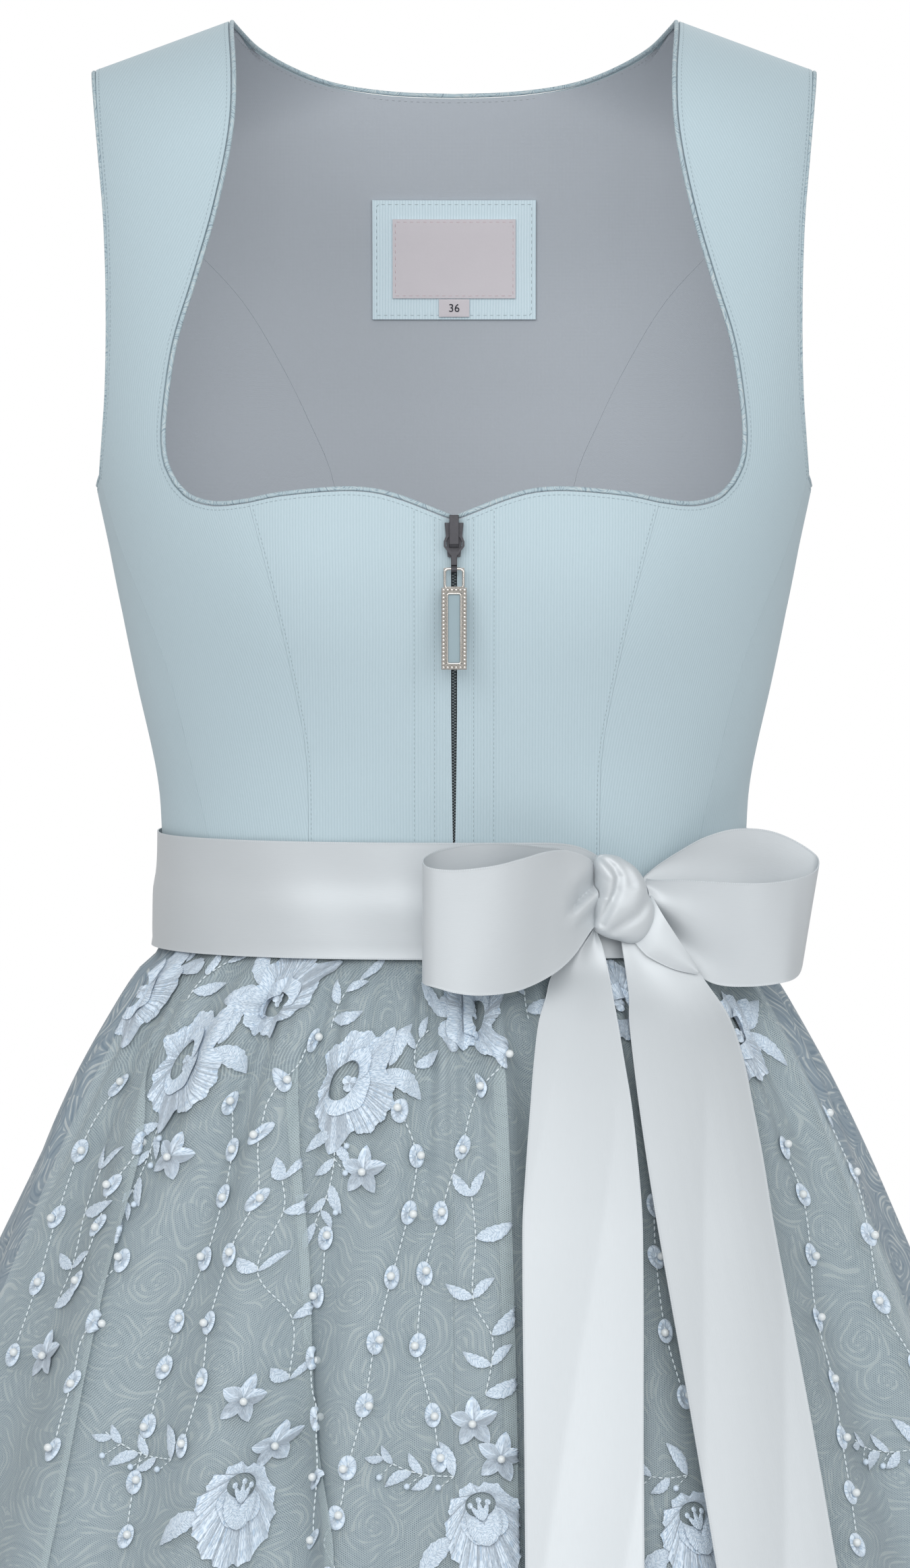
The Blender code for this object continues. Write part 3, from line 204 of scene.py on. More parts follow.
# The satin ribbon, its knot's place and the fall of its ends, as in the part's source
RIBBON_ROWS = np.array((  # height, how far its inside stands off the section
    (-0.3953, 0.0042), (-0.3730, 0.0029), (-0.3620, 0.0010), (-0.3453, 0.0006),
))
RIBBON_WIDTH = 0.050
RIBBON_DIP, RIBBON_DIP_TURN, RIBBON_DIP_SPREAD = 0.0215, math.radians(48), 0.185
KNOT_SIDE, KNOT_HEIGHT = 0.0680, -0.3685
TAIL_CLEARANCE, TAIL_SLANT, TAIL_LIFT = 0.0006, 0.026, 0.0016
LEFT_TAIL = (  # height, nearer edge, farther edge, to the wearer's left of the centre
    (-0.4200, 0.0360, 0.0697), (-0.4375, 0.0337, 0.0726), (-0.4550, 0.0322, 0.0754),
    (-0.4800, 0.0302, 0.0780), (-0.5050, 0.0287, 0.0795), (-0.6000, 0.0293, 0.0790),
    (-0.7400, 0.0300, 0.0790), (-0.9150, 0.0300, 0.0790),
)
RIGHT_TAIL = (
    (-0.4200, 0.0747, 0.1180), (-0.4375, 0.0764, 0.1240), (-0.4550, 0.0785, 0.1275),
    (-0.4800, 0.0820, 0.1320), (-0.5050, 0.0860, 0.1358), (-0.6000, 0.1025, 0.1530),
    (-0.7400, 0.1250, 0.1755), (-0.9000, 0.1490, 0.1995),
)
# Stations of the bow in the knot's frame, in millimetres: along, forward and up, for the upper
# and for the lower edge of the ribbon, from the knot round the end and back to the knot
LEFT_LOOP = (
    ((-12.0, 12, 12.6), (-12.4, 12, -12.4)), ((-16.7, 15, 17.0), (-15.0, 14, -13.9)),
    ((-28.3, 20, 20.9), (-25.8, 20, -24.6)), ((-39.8, 25, 20.9), (-37.4, 25, -31.9)),
    ((-52.9, 29, 18.4), (-53.5, 29.6, -37.4)), ((-66.0, 31, 15.8), (-69.5, 30.4, -39.0)),
    ((-80.8, 28.8, 14.3), (-80.8, 28.8, -38.1)), ((-89.4, 24.6, 14.8), (-89.4, 24.6, -35.6)),
    ((-92.4, 20, 16.1), (-92.4, 20, -34.4)), ((-90.9, 15, 18.6), (-90.9, 15, -33.0)),
    ((-83.2, 11, 21.6), (-83.2, 11, -30.0)), ((-67.7, 9, 24.0), (-67.7, 9, -27.0)),
    ((-51.7, 8.2, 23.8), (-51.7, 8.2, -25.0)), ((-33.5, 8, 21.7), (-33.5, 8, -22.0)),
    ((-23.8, 8, 20.1), (-23.8, 8, -18.0)), ((-12.6, 8, 12.0), (-12.6, 8, -12.0)),
)
RIGHT_LOOP = (
    ((11.0, 12, 7.6), (13.4, 11, -10.4)), ((15.5, 14, 7.1), (20.4, 12.5, -20.0)),
    ((25.4, 20, 7.2), (28.2, 16, -30.2)), ((41.0, 26, 6.2), (39.1, 20.5, -37.8)),
    ((55.4, 31, 5.8), (53.0, 26, -39.0)), ((70.7, 30, 6.8), (68.0, 28, -37.4)),
    ((81.2, 26, 8.8), (76.6, 23, -35.0)), ((87.0, 21, 12.0), (80.4, 19, -30.0)),
    ((87.4, 17, 16.6), (81.6, 15, -27.0)), ((77.6, 13, 23.5), (75.0, 12, -26.0)),
    ((66.0, 11, 27.4), (64.0, 10, -24.0)), ((52.0, 9.2, 27.8), (51.0, 9, -22.0)),
    ((40.0, 8.2, 24.6), (40.0, 8.2, -20.0)), ((30.1, 8, 19.6), (29.0, 8, -16.0)),
    ((17.8, 8, 12.4), (17.0, 8, -12.0)), ((11.8, 8, 7.9), (12.4, 8, -9.0)),
)
KNOT_OUTLINE = (
    (-12.4, 16.8), (-5.3, 18.2), (1.7, 15.1), (8.2, 8.6), (11.0, 1.6), (13.7, -5.5),
    (13.1, -12.3), (9.4, -18.0), (5.1, -19.9), (-2.4, -18.7), (-9.7, -16.2), (-12.8, -13.5),
    (-12.4, -8.3), (-11.8, 0.9), (-12.3, 8.9),
)
KNOT_GROOVES = (  # line on the knot's front, its width and its depth
    (((-11.0, 17.8), (-6.4, 13.0), (-4.6, 9.0), (-5.4, 3.5), (-7.9, -2.0), (-11.2, -11.0)),
     1.8, 1.9),
    (((-3.6, 16.9), (-0.6, 11.5), (1.2, 6.4)), 2.2, 0.7),
    (((12.2, 1.9), (4.7, -7.0), (-5.6, -14.0)), 2.8, 1.4),
    (((2.0, 13.0), (5.4, 4.0), (0.0, -4.0)), 4.2, -0.9),
    (((-8.6, 9.0), (-9.6, 0.0)), 2.2, -0.8),
)
LEFT_TAIL_TOP = (  # nearer and farther edge where the ribbon leaves the knot
    ((-11.5, 9.5, -10.0), (-10.5, 9.5, -10.0)), ((-14.0, 10, -15.0), (-11.2, 10, -14.4)),
    ((-24.5, 10, -24.3), (-9.0, 11, -20.0)), ((-32.5, 12.5, -33.0), (-7.3, 14, -30.2)),
    ((-37.6, 19, -42.0), (-7.9, 21.5, -41.0)),
)
RIGHT_TAIL_TOP = (
    ((0.0, 9, -12.0), (12.5, 12.5, 1.0)), ((0.2, 10.5, -19.7), (15.4, 17.5, -7.6)),
    ((0.5, 14, -29.4), (23.4, 19.5, -20.4)), ((-0.5, 21.5, -42.0), (34.7, 21.5, -36.6)),
)
TAIL_FOLD = (  # the corner of ribbon folded over the right end: outer and inner edge
    ((12.7, 14.0, 0.5), (4.4, 13.8, -18.8)), ((16.0, 18.6, -7.6), (6.7, 16.4, -22.6)),
    ((20.2, 20.2, -14.6), (9.9, 18.6, -25.9)), ((25.2, 21.2, -22.4), (20.0, 21.0, -31.0)),
    ((31.0, 22.6, -31.4), (30.7, 22.4, -33.6)),
)


def seen(red, green, blue):
    """A colour as seen on a screen, as the linear values that shaders take."""
    values = []
    for value in (red, green, blue):
        share = value / 255
        values.append(share / 12.92 if share <= 0.04045 else ((share + 0.055) / 1.055) ** 2.4)
    return tuple(values)


def length(name, description, default):
    """A length that a user may change."""
    return FloatProperty(
        name=name, description=description, default=default, min=0.0, precision=5, unit="LENGTH"
    )


def tint(name, description, *colour):
    """A colour that a user may change."""
    return FloatVectorProperty(
        name=name, description=description, default=seen(*colour), min=0.0, max=1.0,
        size=3, subtype="COLOR",
    )


class DirndlSizes(bpy.types.PropertyGroup):
    """The sizes of the dirndl's finishes"""

    rib: length("Cord pitch", "Distance between two cords of the bodice cloth", 0.0013)
    patch_rib: length("Patch cord pitch", "Distance between two cords of the label's patch", 0.0013)
    stitch: length("Stitch length", "Length of one visible stitch", 0.0015)
    stitch_gap: length("Stitch gap", "Gap between two stitches", 0.0006)
    stitch_edge: length("Edge stitching", "Distance of the stitching from a piped edge", 0.0030)
    thread: length("Thread radius", "Radius of the sewing thread", 0.00014)
    tooth: length("Tooth pitch", "Distance between two teeth on one side of the zip", 0.00125)
    whorl: length("Whorl size", "Size of one whorl of the skirt's print", 0.0340)
    net: length("Net size", "Width of one hole of the apron's net", 0.0009)
    pearl: length("Pearl radius", "Radius of a sewn pearl", 0.00185)
    bead: length("Bead radius", "Radius of the pendant's metal beads", 0.00090)
    lamp: length("Lamp size", "Width of the largest soft light", 2.4)


class DirndlColours(bpy.types.PropertyGroup):
    """The colours of the dirndl's cloths, threads and metals"""

    cord: tint("Bodice cloth", "The corded cloth's light blue", 181, 199, 207)
    # The groove colours of bodice and patch are painted shade between the cords
    cord_shade: tint("Bodice grooves", "Between the cords", 168, 188, 196)
    # The patch is the bodice's cord cloth; its lighter colours are painted light, making up for the
    # shade inside the back
    patch: tint("Patch cloth", "The label's patch", 221, 239, 247)
    patch_shade: tint("Patch grooves", "Between the patch's cords", 198, 219, 228)
    lining: tint("Lining", "The bodice's smooth grey lining", 178, 185, 193)
    skirt: tint("Skirt cloth", "The skirt's ground", 138, 153, 164)
    print: tint("Skirt print", "The pale strokes of the print", 196, 203, 203)
    print_dark: tint("Skirt print's shade", "The dark strokes of the print", 111, 130, 145)
    net: tint("Apron net", "The net's threads", 184, 199, 203)
    lace: tint("Embroidery", "The embroidery's threads", 219, 232, 244)
    lace_shade: tint("Embroidery's shade", "Between the embroidery's threads", 172, 194, 215)
    floss: tint("Chain thread", "The pale thread of chains and stems", 220, 231, 236)
    satin: tint("Satin", "Ribbon and bow", 194, 200, 204)
    pearl: tint("Pearls", "Sewn pearls", 222, 228, 230)
    metal: tint("Zip", "The zip's dark metal", 88, 88, 92)
    silver: tint("Pendant", "The pendant's frame", 222, 218, 212)
    inlay: tint("Inlay", "The pendant's flat inlay", 140, 160, 168)
    label: tint("Label", "The woven label", 214, 209, 214)
    label_thread: tint("Label's stitches", "The label's border", 214, 190, 196)


# Numbers and forms

def smooth_rows(keys, values, at):
    """Values between the rows of a table, smooth through every row."""
    keys, values = np.asarray(keys, float), np.asarray(values, float)
    at = np.clip(np.asarray(at, float), keys[0], keys[-1])
    count = len(keys)
    after = np.minimum(np.arange(count) + 1, count - 1)
    before = np.maximum(np.arange(count) - 1, 0)
    spread = (1,) * (values.ndim - 1)
    slopes = (values[after] - values[before]) / (keys[after] - keys[before]).reshape(-1, *spread)
    index = np.clip(np.searchsorted(keys, at, side="right") - 1, 0, count - 2)
    width = (keys[index + 1] - keys[index]).reshape(*at.shape, *spread)
    t = (at - keys[index]).reshape(*at.shape, *spread) / width
    return (
        (2 * t ** 3 - 3 * t ** 2 + 1) * values[index]
        + (t ** 3 - 2 * t ** 2 + t) * width * slopes[index]
        + (3 * t ** 2 - 2 * t ** 3) * values[index + 1]
        + (t ** 3 - t ** 2) * width * slopes[index + 1]
    )


def columns_at(table, height, first=1, last=None):
    """The columns of a table with heights in its first column, at any heights."""
    found = smooth_rows(table[:, 0], table[:, first:last], height)
    return np.moveaxis(found, -1, 0)


def ease(low, high, value):
    """A soft step from 0 at low to 1 at high."""
    share = np.clip((value - low) / (high - low), 0.0, 1.0)
    return share * share * (3 - 2 * share)


def along_line(points):
    """How far each point of a line is from its start."""
    steps = np.linalg.norm(np.diff(points, axis=0), axis=-1)
    return np.concatenate(([0.0], np.cumsum(steps)))


def spaced(points, steps):
    """A smooth line's points at even steps, both ends included."""
    points = np.asarray(points, float)
    reach = along_line(points)
    return smooth_rows(reach, points, np.linspace(0, reach[-1], steps + 1))


def section_radius(turn, half, deep):
    """How far a section reaches at a turn from the front or the back."""
    across = np.abs(np.sin(turn)) / half
    along = np.abs(np.cos(turn)) / deep
    return (across ** SECTION_POWER + along ** SECTION_POWER) ** (-1 / SECTION_POWER)


def shoulder_height(side):
    """The height of the shoulder line at a distance from the centre."""
    slope = (SHOULDER_ARM[1] - SHOULDER_NECK[1]) / (SHOULDER_ARM[0] - SHOULDER_NECK[0])
    return SHOULDER_NECK[1] + slope * (side - SHOULDER_NECK[0])


def form_points(places):
    """Places on the bodice's outer face, from pairs of turn and way down."""
    turn, down = np.moveaxis(np.asarray(places, float), -1, 0)
    quarter = SHOULDER_ROUND * math.pi / 2
    over = down < quarter
    drop = np.where(
        over, SHOULDER_ROUND * (1 - np.cos(down / SHOULDER_ROUND)), SHOULDER_ROUND + down - quarter
    )
    share = np.where(over, np.sin(down / SHOULDER_ROUND), 1.0)
    ahead = np.cos(turn) > 0
    height = SHOULDER_ARM[1] - drop
    for _ in range(8):
        half, front, back, middle = columns_at(FORM, height)
        radius = section_radius(turn, half, np.where(ahead, front, back))
        side = radius * np.sin(turn)
        height = shoulder_height(np.abs(side)) - drop
    spread = ((np.abs(side) - BUST_SIDE) / BUST_SPREAD) ** 2
    spread = spread + ((height - BUST_HEIGHT) / BUST_TALL) ** 2
    bust = BUST_RISE * np.exp(-spread) * np.clip(4 * np.cos(turn), 0.0, 1.0)
    depth = radius * np.cos(turn) * share + bust
    return np.stack((side, middle - depth, height), -1)


def way_down(side, height):
    """The way down the cloth from the shoulder line to a height."""
    drop = shoulder_height(side) - height
    curved = SHOULDER_ROUND * np.arccos(np.clip(1 - np.maximum(drop, 0) / SHOULDER_ROUND, -1, 1))
    straight = SHOULDER_ROUND * math.pi / 2 + drop - SHOULDER_ROUND
    return np.where(drop < SHOULDER_ROUND, curved, straight)


def on_form(line, front=True):
    """Turns pairs of distance from the centre and height into turns and ways down."""
    side, height = np.moveaxis(np.asarray(line, float), -1, 0)
    half, ahead, behind, _ = columns_at(FORM, height)
    rest = np.maximum(1 - (np.abs(side) / half) ** SECTION_POWER, 0.0)
    across = np.where(front, ahead, behind) * rest ** (1 / SECTION_POWER)
    turn = np.arctan2(side, across if front else -across)
    return np.stack((turn, way_down(np.abs(side), height)), -1)


def along_form(line, steps, front=True):
    """Places on a seam of the form, at even steps along the cloth itself."""
    points = np.asarray(line, float)
    drawn = along_line(points)
    fine = np.linspace(0, drawn[-1], steps * 12)
    reach = along_line(form_points(on_form(smooth_rows(drawn, points, fine), front)))
    even = np.interp(np.linspace(0, reach[-1], steps + 1), reach, fine)
    return on_form(smooth_rows(drawn, points, even), front)


def at_turn(turn, height):
    """Turns turns and heights into turns and ways down."""
    turn, height = np.broadcast_arrays(np.asarray(turn, float), height)
    half, ahead, behind, _ = columns_at(FORM, height)
    radius = section_radius(turn, half, np.where(np.cos(turn) > 0, ahead, behind))
    return np.stack((turn, way_down(np.abs(radius * np.sin(turn)), height)), -1)


def unit(vectors):
    """The directions of vectors."""
    return vectors / np.maximum(np.linalg.norm(vectors, axis=-1, keepdims=True), 1e-12)


def form_normals(places):
    """The outward directions of the bodice's face."""
    places = np.asarray(places, float)
    turn_step, down_step = np.array((0.01, 0.0)), np.array((0.0, 0.002))
    low = places - down_step
    low[..., 1] = np.maximum(low[..., 1], 0.0)
    along = form_points(places + turn_step) - form_points(places - turn_step)
    downward = form_points(places + down_step) - form_points(low)
    normal = unit(np.cross(along, downward))
    turn = places[..., 0]
    outward = np.stack((np.sin(turn), -np.cos(turn), np.full_like(turn, 0.3)), -1)
    return normal * np.sign((normal * outward).sum(-1, keepdims=True))


def seam_lines():
    """Every seam and edge of one half of the bodice, as turns and ways down."""
    front = {
        "princess": (FRONT_PRINCESS, LOW_ROWS), "neck_top": (FRONT_NECK_TOP, CENTRE_COLUMNS),
        "neck_low": (FRONT_NECK_LOW, NECK_LOW_COLUMNS),
        "neck_side": (FRONT_NECK_SIDE, STRAP_ROWS), "side": (SIDE_SEAM, LOW_ROWS),
        "arm_front": (ARMHOLE_FRONT, STRAP_ROWS),
        "shoulder_front": ((SHOULDER_NECK, SHOULDER_ARM), STRAP_COLUMNS),
    }
    back = {
        "back_princess": (BACK_PRINCESS, LOW_ROWS),
        "back_arm_high": (ARMHOLE_BACK_HIGH, BACK_TOP_ROWS),
        "back_neck": (BACK_NECK, BACK_NECK_COLUMNS),
        "shoulder_back": ((SHOULDER_NECK, SHOULDER_ARM), STRAP_COLUMNS),
    }
    lines = {name: along_form(*line) for name, line in front.items()}
    lines.update({name: along_form(*line, front=False) for name, line in back.items()})
    under = [(math.radians(turn) * ARMHOLE_GIRTH, height) for turn, height in ARMHOLE_BACK_LOW]
    under = spaced(under, BACK_SIDE_COLUMNS)
    under = at_turn(under[:, 0] / ARMHOLE_GIRTH, under[:, 1])
    under[0], under[-1] = lines["side"][-1], lines["back_princess"][-1]
    lines["back_arm_low"] = under
    return lines


def between(first, second, steps):
    """Evenly spaced places between two places of the form."""
    share = np.linspace(0, 1, steps + 1)[:, None]
    return np.asarray(first) * (1 - share) + np.asarray(second) * share


def waist_line(first, second, steps):
    """Level places at the waist between two places of the form."""
    return at_turn(np.linspace(first[0], second[0], steps + 1), WAIST_HEIGHT)


def patch(bottom, top, left, right, fade=1.0, rounds=0):
    """A net of places whose four edges follow four lines, as rows from bottom to top.

    The top line's shape dies away faster below it with a larger fade, and each round evens the net.
    """
    up = np.linspace(0, 1, len(left))[:, None, None]
    over = np.linspace(0, 1, len(bottom))[None, :, None]
    net = (
        (1 - over) * left[:, None] + over * right[:, None]
        + (1 - up) * (bottom[None] - (1 - over) * bottom[0] - over * bottom[-1])
        + up ** fade * (top[None] - (1 - over) * top[0] - over * top[-1])
    )
    for _ in range(rounds):
        net[1:-1, 1:-1] = (net[:-2, 1:-1] + net[2:, 1:-1] + net[1:-1, :-2] + net[1:-1, 2:]) / 4
    return net


def ring(turn, height):
    """Places on the plain section of waist and skirt, and the ways out of it in plan."""
    turn, height = np.broadcast_arrays(np.asarray(turn, float), np.asarray(height, float))
    high = columns_at(FORM, height, 1, 4)
    low = columns_at(SKIRT_ROWS, height, 1, 4)
    half, front, back = np.where(height > SKIRT_TOP, high, low)

    def at(angle):
        radius = section_radius(angle, half, np.where(np.cos(angle) > 0, front, back))
        return np.stack((radius * np.sin(angle), -radius * np.cos(angle), height), -1)

    along = at(turn + 0.01) - at(turn - 0.01)
    outward = np.stack((along[..., 1], -along[..., 0], np.zeros_like(turn)), -1)
    return at(turn), unit(outward)


def skirt_fold(turn, height):
    """How far the skirt stands out of its plain section, with the fine gathers at its top."""
    size = columns_at(SKIRT_ROWS, height, 4, 5)[0]
    gather = np.cos(GATHERS * turn + 0.8 * np.sin(5 * turn))
    fold = -np.cos(
        FOLDS * (turn - FIRST_FOLD) + 0.35 * np.sin(3 * turn) + 0.3 * np.sin(7 * turn)
    )
    fold = fold * (0.85 + 0.15 * np.sin(2 * turn + 0.7))
    share = ease(GATHERS_END, FOLDS_START, height)
    fine = SKIRT_FINE_GATHER * np.cos(97 * turn + 2.1 * np.sin(11 * turn))
    fine = fine * ease(-0.396, -0.406, height) * (1 - ease(-0.42, -0.52, height))
    side = np.sin(turn)
    swell = SWELL_RIGHT * np.clip(-side, 0, 1) ** 6 + SWELL_LEFT * np.clip(side, 0, 1) ** 6
    swell = swell * np.exp(-((height - SWELL_HEIGHT) / SWELL_TALL) ** 4)
    return size * (gather * (1 - share) + fold * share) + fine + swell - valley(turn, height)


def valley(turn, height):
    """The deep fold left of the middle, from the hip down."""
    middle = np.radians(np.interp(height, *VALLEY_TURNS))
    away = np.arctan2(np.sin(turn - middle), np.cos(turn - middle)) * VALLEY_GIRTH
    return VALLEY_DEPTH * np.exp(-(away / VALLEY_WIDTH) ** 2) * ease(-0.525, -0.60, height)


def apron_fold(turn, height):
    """How far the apron stands off the skirt under it."""
    size = columns_at(SKIRT_ROWS, height, 5, 6)[0]
    gather = np.cos(GATHERS * turn + 1.7 + 0.6 * np.sin(4 * turn))
    fold = np.cos(APRON_FOLDS * turn + 0.9 * np.sin(4 * turn + 1.2))
    share = ease(GATHERS_END, FOLDS_START, height)
    fine = APRON_FINE_GATHER * (1 + np.cos(83 * turn + 1.7 * np.sin(9 * turn)))
    fine = fine * ease(-0.397, -0.406, height) * (1 - ease(-0.44, -0.56, height))
    return APRON_CLEARANCE + size * (1 + gather * (1 - share) + fold * share) + fine


def turn_at_side(side, height):
    """The turn of the section's front where it lies a distance from the centre."""
    half, front = columns_at(SKIRT_ROWS, height, 1, 3)
    rest = np.maximum(1 - (np.abs(side) / half) ** SECTION_POWER, 0.0)
    return np.arctan2(side, front * rest ** (1 / SECTION_POWER))


def knot_places(points):
    """Places in the knot's frame, in millimetres, as places in the room."""
    foot, outward = ring(turn_at_side(KNOT_SIDE, KNOT_HEIGHT), KNOT_HEIGHT)
    along = np.cross((0.0, 0.0, 1.0), outward)
    points = np.asarray(points, float) / 1000
    upward = np.array((0.0, 0.0, 1.0))
    return foot + points[..., :1] * along + points[..., 1:2] * outward + points[..., 2:] * upward


# Meshes

def finish_piece(name, mesh, *finishes, slot=None, body="root", solid=None):
    """Puts a mesh in the scene as a piece: its finishes, its body and its solid; the slot it is given
    is not used.
    """
    mesh.name = name
    for finish in finishes:
        mesh.materials.append(finish_for(finish))
    piece = bpy.data.objects.new(name, mesh)
    bpy.context.collection.objects.link(piece)
    mesh.shade_smooth()
    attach(piece, body)
    if solid:
        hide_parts(solid)
    return piece


def made_mesh(build, name="cloth"):
    """The mesh of a finished build."""
    mesh = bpy.data.meshes.new(name)
    build.to_mesh(mesh)
    build.free()
    return mesh


def reworked(mesh, work):
    """A mesh after some work on its build."""
    build = bmesh.new()
    build.from_mesh(mesh)
    work(build)
    build.to_mesh(mesh)
    build.free()
    return mesh


def face_outward(build):
    """Turns all faces outward."""
    bmesh.ops.recalc_face_normals(build, faces=build.faces)


def mesh_points(mesh):
    """A mesh's points."""
    flat = np.empty(len(mesh.vertices) * 3)
    mesh.vertices.foreach_get("co", flat)
    return flat.reshape(-1, 3)


def give_cloth(mesh, cloth):
    """Gives each point of a mesh its place on the flat cloth."""
    corners = np.empty(len(mesh.loops), dtype=np.int32)
    mesh.loops.foreach_get("vertex_index", corners)
    layer = mesh.uv_layers.new(name="Cloth")
    layer.data.foreach_set("uv", cloth[corners].astype(np.float32).ravel())


def cloth_grid(columns, rows, place):
    """A mesh grid whose points go where place puts its shares of width and length."""
    build = bmesh.new()
    bmesh.ops.create_grid(build, x_segments=columns, y_segments=rows, size=0.5)
    mesh = made_mesh(build)
    shares = mesh_points(mesh)[:, :2] + 0.5
    points, cloth = place(shares[:, 0], shares[:, 1])
    mesh.vertices.foreach_set("co", points.ravel())
    give_cloth(mesh, cloth)
    mesh.update()
    return mesh


def sew_up(mesh, ends=False):
    """Joins the points of a mesh that lie on each other, and closes its ends if asked."""
    def sew(build):
        bmesh.ops.remove_doubles(build, verts=build.verts, dist=1e-6)
        if ends:
            open_edges = [edge for edge in build.edges if edge.is_boundary]
            bmesh.ops.holes_fill(build, edges=open_edges, sides=0)
            face_outward(build)

    return reworked(mesh, sew)


def add_wall(piece, thickness, lining=0):
    """Gives a cloth its thickness, inward from its outer face."""
    wall = piece.modifiers.new("Thickness", "SOLIDIFY")
    wall.thickness = thickness
    wall.offset = -1.0
    wall.use_even_offset = False
    wall.material_offset = lining
    cut = piece.modifiers.new("Crisp cut edges", "EDGE_SPLIT")
    cut.split_angle = math.radians(60)
    cut.use_edge_sharp = False
    return piece


def declare_sheet(piece, columns, rows, held, rests_on, fullness=1.0):
    """Works out the flat cloth a grid was cut from: its own width, length and area, with its
    fullness, and keeps none of it.
    """
    area = sum(face.area for face in piece.data.polygons) * fullness
    net = mesh_points(piece.data).reshape(rows + 1, columns + 1, 3)
    width = np.linalg.norm(np.diff(net, axis=1), axis=-1).sum(1).max() * fullness
    tall = np.linalg.norm(np.diff(net, axis=0), axis=-1).sum(0).max()
    area = min(area, width * tall)


def cloth_piece(name, grid, place, finish, slot, held=None, rests_on=None, wall=0.0, fullness=1.0,
                replaces=True, turned_over=False, closed=False):
    """A piece of cloth laid out on a grid, with its flat cut, its thickness and its solid."""
    mesh = cloth_grid(*grid, place)
    if turned_over:
        mesh.flip_normals()
    piece = finish_piece(name, mesh, finish, slot=slot, solid=name if replaces else None)
    if held:
        declare_sheet(piece, *grid, held, rests_on, fullness)
    if closed:
        sew_up(mesh)
    if wall:
        add_wall(piece, wall)
    return piece


def draw_in(build, amount):
    """Steps a cloth's rim back, by what amount gives for each of its edges."""
    steps = {}
    for edge in build.edges:
        if edge.is_boundary:
            loop = edge.link_loops[0]
            a, b = loop.vert, loop.link_loop_next.vert
            inward = loop.face.normal.cross((b.co - a.co).normalized()).normalized()
            for corner in (a, b):
                steps.setdefault(corner, []).append((inward, amount(edge)))
    for corner, ((first, near), (second, far)) in steps.items():
        shared = first.dot(second)
        if shared > 0.97:
            corner.co += (first + second).normalized() * max(near, far)
        else:
            scale = 1 / (1 - shared * shared)
            corner.co += first * ((near - far * shared) * scale)
            corner.co += second * ((far - near * shared) * scale)


def reach_across(found, rows, anchor):
    """How far across the cloth each point of a panel is from the middle line, by row and column."""
    across = {}
    for row in range(rows + 1):
        across[row, anchor] = abs(found[row, anchor].co.x)
        for way in (1, -1):
            column = anchor
            while (row, column + way) in found:
                step = found[row, column + way].co - found[row, column].co
                across[row, column + way] = across[row, column] + math.hypot(step.x, step.y) * way
                column += way
    return across


def panel(name, net, anchor, amount, lean, mirrored=False):
    """One bodice panel on its net of places, its rim drawn in and its cords laid out."""
    columns = max(column for _, column in net)
    rows = max(row for row, _ in net)
    first = min(column for _, column in net)
    build = bmesh.new()
    bmesh.ops.create_grid(build, x_segments=columns - first, y_segments=rows, size=0.5)
    keys = {
        vert: (round((vert.co.y + 0.5) * rows),
               first + round((vert.co.x + 0.5) * (columns - first)))
        for vert in build.verts
    }
    spare = [vert for vert, key in keys.items() if key not in net]
    for vert in spare:
        del keys[vert]
    bmesh.ops.delete(build, geom=spare, context="VERTS")
    places = np.array([net[key] for key in keys.values()])
    if mirrored:
        places[:, 0] *= -1
    for vert, point in zip(keys, form_points(places)):
        vert.co = point
    build.normal_update()
    face = next(iter(build.faces))
    middle = face.calc_center_median()
    turn = math.atan2(middle.x, -middle.y)
    if face.normal.dot(Vector((math.sin(turn), -math.cos(turn), 0.0))) < 0:
        bmesh.ops.reverse_faces(build, faces=build.faces)
        build.normal_update()
    across = reach_across({key: vert for vert, key in keys.items()}, rows, anchor)
    draw_in(build, lambda edge: amount(*(keys[vert] for vert in edge.verts)))
    layer = build.loops.layers.uv.new("Cloth")
    for face in build.faces:
        for loop in face.loops:
            height = loop.vert.co.z
            leant = np.interp(height, LEAN_HEIGHTS, LEAN_SHIFTS) if lean else 0.0
            loop[layer].uv = (across[keys[loop.vert]] - leant, height)
    mesh = made_mesh(build, name)
    area = sum(face.area for face in mesh.polygons)
    level = [[across[key] for key in across if key[0] == row] for row in (0, rows // 2, rows)]
    corner = mesh.vertices[0].co
    tall = max((vert.co - corner).length for vert in mesh.vertices)
    wide = max(max(max(reach) - min(reach) for reach in level), area / tall)
    tall = max(tall, area / wide)
    piece = finish_piece(name, mesh, "cord", "lining", slot="bodice_cord", solid=name)
    max(area, 0.31 * wide * tall)
    return add_wall(piece, CLOTH_WALL, lining=1)


class Cutting:
    """A small form that is made once and laid down many times."""

    def __init__(self, build):
        build.verts.ensure_lookup_table()
        build.verts.index_update()
        layer = build.loops.layers.uv.get("Cloth")
        self.points = np.array([vert.co[:] for vert in build.verts])
        self.faces = [[vert.index for vert in face.verts] for face in build.faces]
        loops = [loop for face in build.faces for loop in face.loops]
        self.cloth = np.array([loop[layer].uv[:] if layer else (0.0, 0.0) for loop in loops])
        build.free()


def lay_down(name, laid, finish, **facts):
    """One piece from many laid cuttings: pairs of a cutting and its points in the room."""
    points, faces, cloth, start = [], [], [], 0
    for cutting, moved in laid:
        points.append(moved)
        faces.extend([index + start for index in face] for face in cutting.faces)
        cloth.append(cutting.cloth)
        start += len(moved)
    mesh = bpy.data.meshes.new(name)
    mesh.from_pydata(np.concatenate(points).tolist(), [], faces)
    layer = mesh.uv_layers.new(name="Cloth")
    layer.data.foreach_set("uv", np.concatenate(cloth).astype(np.float32).ravel())
    mesh.update()
    return finish_piece(name, mesh, finish, **facts)


def ball(steps):
    """A ball of radius 1."""
    build = bmesh.new()
    bmesh.ops.create_icosphere(build, subdivisions=steps, radius=1.0)
    return Cutting(build)


